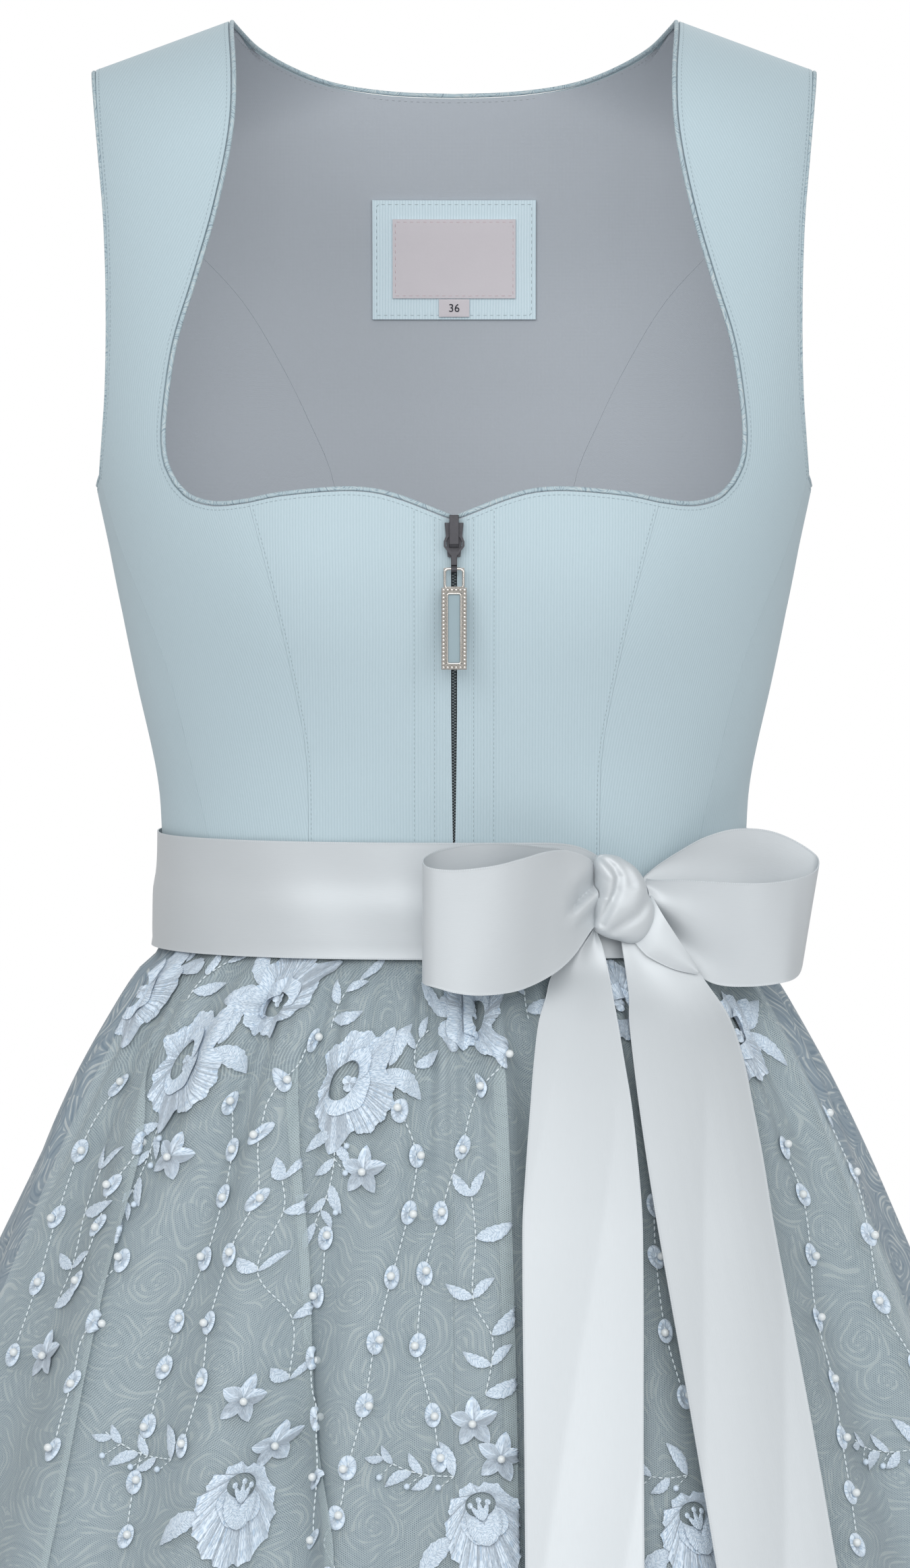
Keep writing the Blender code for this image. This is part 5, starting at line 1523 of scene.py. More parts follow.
def loop_points(stations, way, over, up):
    """A loop of the bow: a closed band of ribbon with creases running out from the knot."""
    points, girth = lofted(stations, 1 - over, up)
    points = points.copy()
    out = np.abs(points[:, 0])
    fading = np.exp(-((out - 11) / 20) ** 2)
    in_front = 1 - ease(0.42, 0.56, up)
    behind = ease(0.60, 0.75, up)
    across = over * 2 - 1
    if way < 0:
        above_lip = points[:, 2] - lip_height(points[:, 0])
        tuck = ease(-31, -20, points[:, 0]) * ease(-0.8, 1.9, above_lip)
        tuck = tuck * (1 - ease(2.0, 15.0, above_lip))
        points[:, 1] -= 4.8 * tuck * in_front
        lip = np.exp(-((above_lip + 3.0) / 3.4) ** 2)
        points[:, 1] += 1.3 * lip * ease(-32, -20, points[:, 0]) * in_front
        points[:, 1] += 1.5 * np.sin(3.2 * across + 0.5) * fading * in_front
    else:
        points[:, 1] += 1.1 * np.sin(4.6 * across + 1.3) * fading * in_front
        fold = np.exp(-((across + 0.20 + (out - 12) * 0.010) / 0.34) ** 2)
        points[:, 1] -= 2.2 * fold * np.exp(-((out - 22) / 16) ** 2) * in_front
    points[:, 1] += 1.6 * np.sin(4.2 * across + out * 0.05) * behind * np.exp(-out / 45)
    points[:, 1] += 0.5 * np.sin(out * 0.13 + across * 1.2) * (in_front + behind)
    points[:, 1] = np.maximum(points[:, 1], 6.4)
    return points, girth


def lip_height(along):
    """The height of the left loop's lower lip beside the knot, in millimetres."""
    return np.interp(along, (-34.0, -25.1, -15.1, -11.1), (-9.0, -6.0, 0.9, 4.1))


def outline_reach(angle):
    """How far the knot's outline is from its middle, in millimetres, by angle."""
    outline = np.array(KNOT_OUTLINE)
    angles = np.arctan2(outline[:, 1], outline[:, 0])
    order = angles.argsort()
    reach = np.linalg.norm(outline, axis=1)[order]
    angles = angles[order]
    angles = np.concatenate((angles[-1:] - 2 * math.pi, angles, angles[:1] + 2 * math.pi))
    reach = np.concatenate((reach[-1:], reach, reach[:1]))
    return smooth_rows(angles, reach, angle)


def crease(points, line, width):
    """How near points are to a line of the knot's front, 1 on it and 0 away from it."""
    line = np.asarray(line, float)
    best = np.full(len(points), 1e9)
    for a, b in zip(line[:-1], line[1:]):
        run = b - a
        share = np.clip(((points - a) @ run) / (run @ run), 0, 1)
        best = np.minimum(best, np.linalg.norm(points - a - share[:, None] * run, axis=1))
    return np.exp(-(best / width) ** 2)


class DIRNDL_OT_bow(bpy.types.Operator):
    """Ties the bow: the knot and two open loops"""

    bl_idname = "dirndl.bow"
    bl_label = "Bow"

    def execute(self, context):
        for name, way, stations in (("left", 1, RIGHT_LOOP), ("right", -1, LEFT_LOOP)):
            def place(over, up, way=way, stations=stations):
                points, girth = loop_points(stations, way, over, up)
                return knot_places(points), np.stack((over * RIBBON_WIDTH, up * girth / 1000), -1)

            cloth_piece(f"bow_loop_{name}", LOOP_GRID, place, "satin", "satin", "folded",
                        "bow_knot", RIBBON_WALL * 0.5, turned_over=way < 0)

        build = bmesh.new()
        bmesh.ops.create_icosphere(build, subdivisions=6, radius=1.0)
        mesh = made_mesh(build, "knot")
        x, y, z = mesh_points(mesh).T
        angle = np.arctan2(z, x)
        spread = np.minimum(np.hypot(x, z) ** 0.85, 1.0) * outline_reach(angle)
        front = np.maximum(-y, 0) ** 0.75
        forward = np.where(y < 0, 12.6 + 8.6 * front, 12.6 - 6.6 * np.maximum(y, 0) ** 0.6)
        places = np.stack((spread * np.cos(angle), forward, spread * np.sin(angle)), -1)
        for line, width, depth in KNOT_GROOVES:
            places[:, 1] -= crease(places[:, [0, 2]], line, width) * depth * ease(0.0, 0.25, -y)
        places[:, 1] = np.maximum(places[:, 1], 5.7)
        mesh.vertices.foreach_set("co", knot_places(places).ravel())
        give_cloth(mesh, np.stack((np.clip(places[:, 2] * 0.0011 + 0.025, 0.002, 0.048),
                                   places[:, 0] * 0.001), -1))
        reworked(mesh, face_outward)
        finish_piece("bow_knot", mesh, "satin", slot="satin", solid="bow_knot")
        return {"FINISHED"}


def tail_off(height):
    """How far a tail's outer face stands off the plain section, over ribbon, skirt and apron."""
    over_ribbon = RIBBON_ROWS[0, 1] + RIBBON_WALL + TAIL_CLEARANCE
    skirt_size, apron_size = columns_at(SKIRT_ROWS, height, 4, 6)
    over_apron = skirt_size + APRON_CLEARANCE + 2 * apron_size + APRON_WALL + TAIL_CLEARANCE
    return np.maximum(over_ribbon, over_apron) + RIBBON_WALL


def tail_lines(top, table, slant, across=9):
    """Cross lines of a tail, from the knot to its slanted end."""
    share = np.linspace(0, 1, across)
    lines = []
    for near, far in top:
        near, far = knot_places(near), knot_places(far)
        lines.append(near * (1 - share[:, None]) + far * share[:, None])
    for height, near, far in table:
        level = np.full(across, height)
        if height == table[-1][0]:
            level = level + slant * TAIL_SLANT * (share - 0.5)
        side = near + (far - near) * share
        foot_side = side
        for _ in range(4):
            points, outward = ring(turn_at_side(foot_side, level), level)
            points = points + outward * (tail_off(level) + TAIL_LIFT)[:, None]
            foot_side = foot_side + side - points[:, 0]
        lines.append(points)
    return np.array(lines)


def under_tail(place):
    """Whether a place lies well under one of the ribbon's ends."""
    if place[2] > LEFT_TAIL[0][0] + 0.02:
        return False
    for table in (LEFT_TAIL, RIGHT_TAIL):
        near, far = columns_at(np.array(table[::-1]), max(place[2], table[-1][0]), 1, 3)
        if near + 0.0015 < place[0] < far - 0.0015:
            return True
    return False


class DIRNDL_OT_tails(bpy.types.Operator):
    """Hangs the ribbon's two free ends"""

    bl_idname = "dirndl.tails"
    bl_label = "Ribbon ends"

    def execute(self, context):
        cuts = (("left", LEFT_TAIL_TOP, LEFT_TAIL, 1.0), ("right", RIGHT_TAIL_TOP, RIGHT_TAIL, -1.0))
        for name, top, table, slant in cuts:
            def place(over, up, lines=tail_lines(top, table, slant), slant=slant):
                points, reach = lofted(lines, over, 1 - up)
                down = (1 - up) * reach
                wave = 0.0010 * np.sin(over * 4.6 + slant + down * 16) * ease(0.05, 0.12, down)
                curl = 0.0012 * (over * 2 - 1) ** 2 * ease(0.06, 0.2, down)
                near_knot = 0.0016 * np.sin(over * 9.0 + slant) * np.exp(-(down / 0.03) ** 2)
                points[:, 1] += near_knot * 0.6 - np.abs(wave) - curl
                return points, np.stack((over * RIBBON_WIDTH, down), -1)

            cloth_piece(f"bow_tail_{name}", TAIL_GRID, place, "satin", "satin", "hung",
                        ["bow_knot", "apron"], RIBBON_WALL * 0.5)

        def fold(over, up, corners=knot_places([(inner, outer) for outer, inner in TAIL_FOLD])):
            points, reach = lofted(corners, over, 1 - up)
            points[:, 1] -= 0.0011 * np.sin(math.pi * over) * np.sin(math.pi * (1 - up) * 0.8)
            return points, np.stack((over * 0.024, (1 - up) * reach), -1)

        cloth_piece("bow_tail_fold", FOLD_GRID, fold, "satin", "satin", "folded", "bow_tail_right",
                    RIBBON_WALL * 0.4, replaces=False)
        return {"FINISHED"}


# The zip and the labels

TAPE_HALF, TAPE_DEPTH = 0.0120, 0.0022
TOOTH_SIDE, TOOTH_DEPTH, TOOTH_WIDE, TOOTH_DEEP = 0.00042, 0.0007, 0.0010, 0.0013
PENDANT_TOP, PENDANT_LOOP_MIDDLE = -0.2354, -0.23165
BEADS_ACROSS, BEADS_DOWN, BEAD_INSET = 5, 20, 1.05
INNER_FRAME_RADIUS, PENDANT_LOOP_RADIUS = 0.00044, 0.00062
SIZE_NUMBER, NUMBER_TALL, NUMBER_HEIGHT, NUMBER_DEPTH = "36", 0.0052, -0.1138, 0.0046
LABELS = (  # name, half width, top, bottom, depth under the back's face, thickness, finish, slot
    ("label_patch", 0.0375, -0.0640, -0.1188, 0.0031, 0.0009, "patch_cord", "bodice_cord"),
    ("label_woven", 0.0283, -0.0725, -0.1091, 0.0042, 0.0007, "label", "label_woven"),
    ("label_size_tag", 0.0070, -0.1095, -0.1177, 0.0042, 0.0006, "label", "label_woven"),
)
LABEL_BORDERS = {  # how far inside the edge it is stitched, with which thread, on which piece
    "label_patch": (0.0019, "thread", "bodice_back_centre"),
    "label_woven": (0.0012, "label_thread", "label_patch"),
}


def metal_edges(node, finish, width):
    """A packed metal part with its finish and fine rounded edges."""
    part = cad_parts[node]
    for slot in part.material_slots:
        slot.material = finish_for(finish)
    weld = part.modifiers.new("Join", "WELD")
    weld.merge_threshold = 1e-5
    rounding = part.modifiers.new("Edges", "BEVEL")
    rounding.width = width
    rounding.segments = 2
    rounding.limit_method = "ANGLE"
    rounding.angle_limit = math.radians(35)
    rounding.harden_normals = False
    return part


class DIRNDL_OT_zip(bpy.types.Operator):
    """Makes the zip's teeth and tape, and finishes slider and puller"""

    bl_idname = "dirndl.zip"
    bl_label = "Zip"

    def execute(self, context):
        low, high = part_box("zip_chain")
        pitch = context.scene.dirndl_sizes.tooth

        def tape(over, up):
            side = (over * 2 - 1) * TAPE_HALF
            height = low[2] + (high[2] - low[2]) * up
            places = on_form(np.stack((np.abs(side), height), -1))
            points = form_points(places) - form_normals(places) * TAPE_DEPTH
            points[:, 0] = side
            return points, np.stack((side, height), -1)

        cloth_piece("zip_tape", TAPE_GRID, tape, "tape", "zip_metal", "stretched",
                    "bodice_front_centre_left", 0.0006, replaces=False)

        build = bmesh.new()
        bmesh.ops.create_cube(build, size=1.0)
        bmesh.ops.bevel(
            build, geom=build.edges[:], offset=0.16, offset_type="OFFSET", segments=1,
            profile=0.5, affect="EDGES", material=-1,
        )
        bmesh.ops.triangulate(build, faces=build.faces[:])
        tooth = Cutting(build)
        count = 2 * int((high[2] - low[2]) / pitch)
        laid = []
        for index in range(count):
            height = low[2] + (index + 0.5) * (high[2] - low[2]) / count
            place = on_form((0.0, height))
            point = form_points(place) - form_normals(place) * TOOTH_DEPTH
            point[0] = TOOTH_SIDE if index % 2 else -TOOTH_SIDE
            laid.append((tooth, tooth.points * (TOOTH_WIDE, TOOTH_DEEP, pitch * 0.46) + point))
        lay_down("zip_teeth", laid, "teeth", slot="zip_metal", solid="zip_chain")
        metal_edges("zip_slider", "metal", 0.00040)
        metal_edges("zip_puller", "metal", 0.00030)
        return {"FINISHED"}


class DIRNDL_OT_pendant(bpy.types.Operator):
    """Sets the pendant's metal beads and its raised inner frame"""

    bl_idname = "dirndl.pendant"
    bl_label = "Pendant"

    def execute(self, context):
        metal_edges("pendant_frame", "plate", 0.00022)
        metal_edges("pendant_inlay", "inlay", 0.00012)
        bead = context.scene.dirndl_sizes.bead
        facts = {"slot": "silver", "body": "pendant"}
        low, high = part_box("pendant_frame")
        inset = bead * BEAD_INSET
        half, upper, lower = high[0] - inset, PENDANT_TOP - inset, low[2] + inset
        spots = [(-half + 2 * half * step / BEADS_ACROSS, height)
                 for step in range(BEADS_ACROSS + 1) for height in (upper, lower)]
        spots += [(side, lower + (upper - lower) * step / BEADS_DOWN)
                  for step in range(1, BEADS_DOWN) for side in (-half, half)]
        shape = ball(2)
        laid = [(shape, shape.points * bead + (side, low[1] + 0.0003, height))
                for side, height in spots]
        lay_down("pendant_beads", laid, "silver", **facts)

        inner_low, inner_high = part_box("pendant_inlay")
        middle = (inner_low[2] + inner_high[2]) / 2
        rim = round_box(inner_high[0] + 0.0001, (inner_high[2] - inner_low[2]) / 2 + 0.0001, 0.0009)
        rim = np.stack((rim[:, 0], np.full(len(rim), low[1]), rim[:, 1] + middle), -1)
        mesh = tube(rim, towards_front(rim), INNER_FRAME_RADIUS, around=8, closed=True)
        finish_piece("pendant_inner_frame", mesh, "silver", **facts)

        wire = round_box(0.00395, 0.0042, 0.0016)
        wire = wire[wire[:, 1] > -0.0040]
        wire = np.roll(wire, -int(np.argmax(np.diff(wire[:, 0]) > 0.004)) - 1, axis=0)
        wire = np.stack((wire[:, 0], np.full(len(wire), (low[1] + high[1]) / 2),
                         wire[:, 1] + PENDANT_LOOP_MIDDLE), -1)
        mesh = tube(wire, towards_front(wire), PENDANT_LOOP_RADIUS, around=10)
        finish_piece("pendant_loop", mesh, "silver", **facts)
        return {"FINISHED"}


def towards_front(points):
    """The direction to the front at each of some points."""
    return np.tile((0.0, -1.0, 0.0), (len(points), 1))


def round_box(half, tall, corner, steps=6):
    """The outline of a box with round corners, from its lower right corner round to the left."""
    points = []
    for side, up, first in ((1, -1, -90), (1, 1, 0), (-1, 1, 90), (-1, -1, 180)):
        for step in range(steps + 1):
            angle = math.radians(first + 90 * step / steps)
            points.append((side * (half - corner) + corner * math.cos(angle),
                           up * (tall - corner) + corner * math.sin(angle)))
    return np.array(points)


def inside_points(side, height, off):
    """Places under the back's outer face, on its lining."""
    places = on_form(np.stack((np.abs(side), height), -1), front=False)
    points = form_points(places) - form_normals(places) * off[:, None]
    points[:, 0] *= np.where(side < 0, -1.0, 1.0)
    return points


def square_rim(steps=40):
    """Shares of width and length round a square's rim."""
    share = np.linspace(0, 1, steps)
    low, full = np.zeros(steps), np.ones(steps)
    sides = ((share, low), (full, share), (1 - share, full), (low, 1 - share))
    return np.concatenate([np.stack(side, -1) for side in sides])


class DIRNDL_OT_labels(bpy.types.Operator):
    """Sews the patch, the bare woven label and the size tag inside the back"""

    bl_idname = "dirndl.labels"
    bl_label = "Labels"

    def execute(self, context):
        cutting = ball(1)
        radius = context.scene.dirndl_sizes.thread
        for name, half, top, bottom, off, wall, finish, slot in LABELS:
            def place(over, up, half=half, top=top, bottom=bottom, off=off, inset=0.0):
                side = (half - inset) * (over * 2 - 1)
                height = bottom + inset + (top - bottom - 2 * inset) * up
                swell = 0.0003 * (1 - (over * 2 - 1) ** 6) * (1 - (up * 2 - 1) ** 6)
                return inside_points(side, height, off + swell * 0.5), np.stack((side, height), -1)

            inset, thread, rests_on = LABEL_BORDERS.get(name, (None, None, None))
            cloth_piece(name, LABEL_GRID, place, finish, slot, thread and "laid", rests_on, wall)
            if thread:
                points, _ = place(*square_rim().T, inset=inset)
                laid = stitches_on(cutting, points, towards_front(points), 0.0020, 0.0010, radius,
                                   lift=0.00005)
                lay_down(f"{name}_stitching", laid, thread)

        curve = bpy.data.curves.new("number", "FONT")
        curve.body = SIZE_NUMBER
        curve.size = NUMBER_TALL
        curve.align_x, curve.align_y = "CENTER", "CENTER"
        curve.extrude = 0.00006
        text = bpy.data.objects.new("number", curve)
        bpy.context.collection.objects.link(text)
        bpy.context.view_layer.update()
        shaped = text.evaluated_get(bpy.context.evaluated_depsgraph_get())
        mesh = bpy.data.meshes.new_from_object(shaped)
        bpy.data.objects.remove(text, do_unlink=True)
        spot = inside_points(np.zeros(1), np.full(1, NUMBER_HEIGHT), np.full(1, NUMBER_DEPTH))[0]
        mesh.transform(Matrix.Translation(Vector(spot)) @ Matrix.Rotation(math.pi / 2, 4, "X"))
        finish_piece("size_number", mesh, "number")
        return {"FINISHED"}


# The embroidery

ROSES = (  # turn in degrees, height, size, lean
    (-50.8, -0.441, 1.0, 0.10), (-18.6, -0.447, 1.0, 0.0), (18.3, -0.449, 1.0, -0.1),
    (-27.2, -0.622, 1.0, 0.0), (3.9, -0.627, 0.95, 0.25), (30.4, -0.633, 0.95, 0.2),
    (-67.7, -0.412, 0.85, 0.5), (-38.4, -0.4105, 0.85, 2.4),
    (3.7, -0.416, 0.85, 2.9), (34.6, -0.412, 0.8, 2.2), (57.3, -0.431, 0.85, -0.3),
)
STARS = (  # turn in degrees, height, lean
    (-46.7, -0.478, 0.1), (-16.0, -0.482, 0.3), (-58.4, -0.564, 0.5), (-28.2, -0.575, 0.2),
    (-24.5, -0.594, 0.7), (2.5, -0.583, 0.4), (6.3, -0.597, 0.1), (22.0, -0.484, 0.5),
)
CHAINS = (  # turn in degrees and height of each pearl along a thread
    ((-41.8, -0.456), (-39.2, -0.475), (-38.8, -0.494), (-39.4, -0.520), (-40.9, -0.546),
     (-41.1, -0.565), (-41.3, -0.589), (-41.5, -0.612), (-41.0, -0.634)),
    ((-29.1, -0.429), (-31.1, -0.445), (-32.7, -0.467), (-31.4, -0.494), (-34.2, -0.517),
     (-35.4, -0.545), (-34.4, -0.568), (-35.4, -0.595)),
    ((-53.5, -0.474), (-55.1, -0.492), (-56.3, -0.509), (-56.9, -0.533)),
    ((-9.8, -0.457), (-6.8, -0.476), (-7.6, -0.499), (-9.6, -0.525), (-11.3, -0.551),
     (-12.0, -0.576), (-13.4, -0.601), (-14.8, -0.621), (-15.2, -0.645)),
    ((9.2, -0.435), (5.5, -0.447), (1.7, -0.472), (-2.3, -0.499), (-5.1, -0.524),
     (-5.3, -0.553), (-3.2, -0.581), (-2.2, -0.599)),
    ((-21.5, -0.510), (-21.8, -0.534), (-21.4, -0.559), (-19.5, -0.583), (-18.5, -0.607),
     (-17.7, -0.631)),
    ((-49.5, -0.522), (-50.1, -0.547), (-50.6, -0.572), (-50.4, -0.600)),
    ((32.8, -0.497), (31.5, -0.518), (30.8, -0.548), (31.8, -0.575)),
    ((58.0, -0.477), (58.4, -0.497), (56.8, -0.522), (53.8, -0.548), (52.5, -0.573),
     (50.3, -0.595), (48.8, -0.617), (47.4, -0.638)),
    ((68.0, -0.466), (67.4, -0.490), (64.4, -0.515), (62.5, -0.543), (63.7, -0.570)),
    ((-64.5, -0.452), (-65.4, -0.480), (-65.0, -0.508), (-64.0, -0.536), (-63.6, -0.566)),
)
SPRIGS = (  # turn in degrees and height of its foot, direction it grows in, number of leaves
    (-52.7, -0.466, -98, 7), (-21.4, -0.466, -98, 7), (-36.9, -0.601, 165, 6),
    (-0.2, -0.605, 165, 6), (29.8, -0.606, 165, 5), (61.5, -0.604, 170, 6),
    (-55.8, -0.414, 60, 4), (-25.8, -0.424, 62, 4), (-7.5, -0.442, 75, 3), (16.2, -0.420, 70, 4),
)
VINES = (  # turn in degrees and height of each leaf along a thread
    ((-28.6, -0.486), (-27.4, -0.499), (-29.1, -0.523), (-24.8, -0.543), (-24.5, -0.568)),
    ((3.0, -0.492), (3.3, -0.509), (2.8, -0.533), (5.7, -0.548), (5.2, -0.560), (4.0, -0.572)),
    ((-59.6, -0.486), (-60.6, -0.505), (-59.0, -0.528), (-60.0, -0.545)),
)
REPEATS, REPEAT_DROP, REPEATS_FROM, REPEAT_TURN = 4, 0.190, -0.655, 13.0
LACE_LIFT, THREAD_LIFT, BERRY_RADIUS = 0.0007, 0.0006, 0.0015
STAR_REACH, OVAL_HALVES = 0.0106, (0.0037, 0.0050)
BROAD_LEAF, SLIM_LEAF = (0.0158, 0.0058, 0.3), (0.0120, 0.0044, -0.3)
# Length and radius of the stitches of a thread, of a sprig's stem and of a berry's stem
THREAD_STITCH, STEM_STITCH, BERRY_STITCH = (0.0027, 0.00040), (0.0026, 0.00036), (0.0022, 0.00030)


def embroidered(around, radial, spot, strokes):
    """A small form of satin stitch: spot gives its points and strokes their places on the cloth."""
    build = bmesh.new()
    bmesh.ops.create_grid(build, x_segments=around, y_segments=radial, size=0.5)
    layer = build.loops.layers.uv.new("Cloth")
    flat = {vert: (vert.co.x + 0.5, vert.co.y + 0.5) for vert in build.verts}
    for face in build.faces:
        for loop in face.loops:
            loop[layer].uv = strokes(*flat[loop.vert])
    for vert, shares in flat.items():
        vert.co = spot(*shares)
    bmesh.ops.remove_doubles(build, verts=build.verts, dist=2e-6)
    return Cutting(build)


def polar_sheet(around, radial, outer, inner=None, centre=(0.0, 0.0), lift=None):
    """A flat embroidered form between two outlines round a centre, with its strokes across it."""
    def spot(over, up):
        angle = 2 * math.pi * over
        way = Vector((math.cos(angle), math.sin(angle), 0.0))
        near = Vector((0.0, 0.0, 0.0))
        if inner:
            near = Vector((*centre, 0.0)) + way * float(inner(angle))
        point = near.lerp(way * float(outer(angle)), up)
        rise = lift(angle, up) if lift else math.sin(math.pi * min(max(up, 0.0), 1.0))
        point.z = LACE_LIFT + 0.0004 * rise
        return point

    def strokes(over, up):
        reach = float(outer(2 * math.pi * over))
        return 2 * math.pi * over * reach * 0.8, up * reach

    return embroidered(around, radial, spot, strokes)


def bump_at(angle, middle, width):
    """A soft rise round an angle of an outline."""
    away = math.remainder(angle - middle, 2 * math.pi)
    return math.exp(-(away / width) ** 2)


def rose_outline(angle):
    """The open rose's ragged outer edge: petals with notches, and drawn-out tips."""
    plain = 1 / math.hypot(math.cos(angle) / 0.0172, math.sin(angle) / 0.0205)
    lobes = 0.07 * abs(math.cos(3.5 * angle + 0.5)) ** 0.6 + 0.030 * math.cos(17 * angle)
    tips = 0.42 * bump_at(angle, 0.98, 0.15) + 0.36 * bump_at(angle, 4.44, 0.19)
    tips += 0.13 * bump_at(angle, 2.50, 0.15) + 0.19 * bump_at(angle, 3.87, 0.30)
    tips += 0.10 * bump_at(angle, 5.75, 0.26) + 0.06 * bump_at(angle, 1.80, 0.16)
    notches = 0.21 * bump_at(angle, 0.42, 0.17) + 0.14 * bump_at(angle, 4.74, 0.12)
    notches += 0.15 * bump_at(angle, 2.90, 0.13)
    return plain * (1.0 + lobes + tips - notches + 0.010 * math.cos(61 * angle))


def full_rose_outline(angle):
    """The fuller rose's edge: many small lobes."""
    plain = 1 / math.hypot(math.cos(angle) / 0.0182, math.sin(angle) / 0.0218)
    lobes = 0.10 * abs(math.cos(5.5 * angle + 0.3 * math.sin(3 * angle))) ** 0.7
    return plain * (0.90 + lobes + 0.022 * math.cos(23 * angle) + 0.008 * math.cos(46 * angle))


def hole_edge(wide, tall, lean):
    """An oval hole's edge by angle."""
    return lambda angle: 1 / math.hypot(math.cos(angle - lean) / wide, math.sin(angle - lean) / tall)


def petal_band(middle, hole, first, sweep, reach, rise):
    """A raised inner petal: a band that hugs a hole's edge, with a corded rim."""
    def spot(over, up):
        angle = first + sweep * over
        full = math.sin(math.pi * over) ** 0.6 if 0 < over < 1 else 0.0
        away = hole(angle) + reach * up * full * (1 + 0.06 * math.cos(7 * angle))
        return (middle[0] + away * math.cos(angle), middle[1] + away * math.sin(angle),
                LACE_LIFT + rise + 0.0006 * full * (0.4 + 0.6 * up ** 6 + (1 - up) ** 6))

    return embroidered(56, 8, spot, lambda over, up: (over * abs(sweep) * 0.011, up * reach))


def rose_wreath(outline, hole, middle, swing, lobes):
    """A rose's outer wreath round its hole: corded rims, and petals that rise and fall."""
    return polar_sheet(
        160, 12, outline, hole, centre=middle,
        lift=lambda angle, up: (1.3 * math.sin(math.pi * up) + swing * math.cos(lobes * angle) * up
                                + 1.2 * up ** 14 + 0.9 * (1 - up) ** 14),
    )


def moved(cutting, angle, *foot):
    """A cutting turned about its anchor by degrees, and then moved."""
    cutting.points = turned(cutting.points, math.radians(angle)) + foot
    return cutting


def rose_cuttings():
    """The open rose: wreath, two inner petals, a small heart and a notched leaf of two blades."""
    hole, middle = hole_edge(0.0049, 0.0086, -0.38), (-0.0060, 0.0018)
    heart = polar_sheet(
        60, 5, lambda angle: 0.0036 * (0.55 + 0.45 * abs(math.cos(1.5 * angle - 0.4)) ** 0.6),
        lift=lambda angle, up: 2.6 - 1.2 * up * up + 0.4 * math.cos(6 * angle) * up,
    )
    return (
        rose_wreath(rose_outline, hole, middle, 0.5, 8),
        petal_band(middle, hole, -2.5, 3.3, 0.0078, 0.0007),
        petal_band(middle, hole, 0.1, 1.5, 0.0066, 0.0010),
        moved(heart, 0, -0.0036, 0.0008, 0.0),
        moved(leaf_cutting(0.0190, 0.0076, -0.35), -27, 0.0146, 0.0082, -0.0002),
        moved(leaf_cutting(0.0225, 0.0084, -0.35), -128, 0.0128, 0.0066, -0.0002),
    )


def full_rose_cuttings():
    """The fuller rose: wreath with a small hole, petals under it, stamens in it, and a leaf."""
    hole, middle = hole_edge(0.0066, 0.0052, 0.0), (0.0004, 0.0120)
    forms = [
        rose_wreath(full_rose_outline, hole, middle, 0.2, 11),
        petal_band(middle, hole, -2.80, 2.45, 0.0115, 0.0007),
    ]
    for way, tall, wide, foot, rise in (
            (23, 0.0165, 0.0072, -0.0060, 0.0020), (-23, 0.0165, 0.0072, -0.0060, 0.0020),
            (27, 0.0082, 0.0024, 0.0048, 0.0022), (-25, 0.0082, 0.0024, 0.0048, 0.0022),
            (1, 0.0088, 0.0024, 0.0048, 0.0024)):
        forms.append(moved(leaf_cutting(tall, wide, 0.0), way, 0.0003, foot, rise))
    for side, up in ((-0.0035, 0.0121), (0.0004, 0.0136), (0.0038, 0.0121)):
        bud = polar_sheet(14, 3, hole_edge(0.0011, 0.0013, side * 60),
                          lift=lambda angle, up: 2.6 - 1.4 * up * up)
        forms.append(moved(bud, 0, side, up, 0.0020))
    return (*forms, moved(leaf_cutting(0.0250, 0.0088, 0.3), 130, -0.0148, 0.0015, -0.0002))


def leaf_cutting(tall, wide, bend):
    """A leaf in two halves of slanting stitches with a groove between them."""
    def spot(over, up):
        over = over * 2 - 1
        full = math.sin(math.pi * up ** 0.85) ** 0.8 if 0 < up < 1 else 0.0
        full *= 1 + 0.08 * math.cos(up * 34)
        side = over * wide / 2 * full + bend * tall * math.sin(math.pi * up * 0.8) * 0.35
        return (side, up * tall, LACE_LIFT + 0.0007 * (1 - over * over) * full
                - 0.0004 * math.exp(-(over * 4) ** 2) * full)

    def strokes(over, up):
        over = over * 2 - 1
        return up * tall + abs(over) * wide * 0.35, over * wide

    return embroidered(6, 14, spot, strokes)


def turned(points, angle, size=1.0):
    """Flat points turned and sized about their anchor."""
    c, s = math.cos(angle) * size, math.sin(angle) * size
    return points @ np.array(((c, s, 0.0), (-s, c, 0.0), (0.0, 0.0, 1.0)))


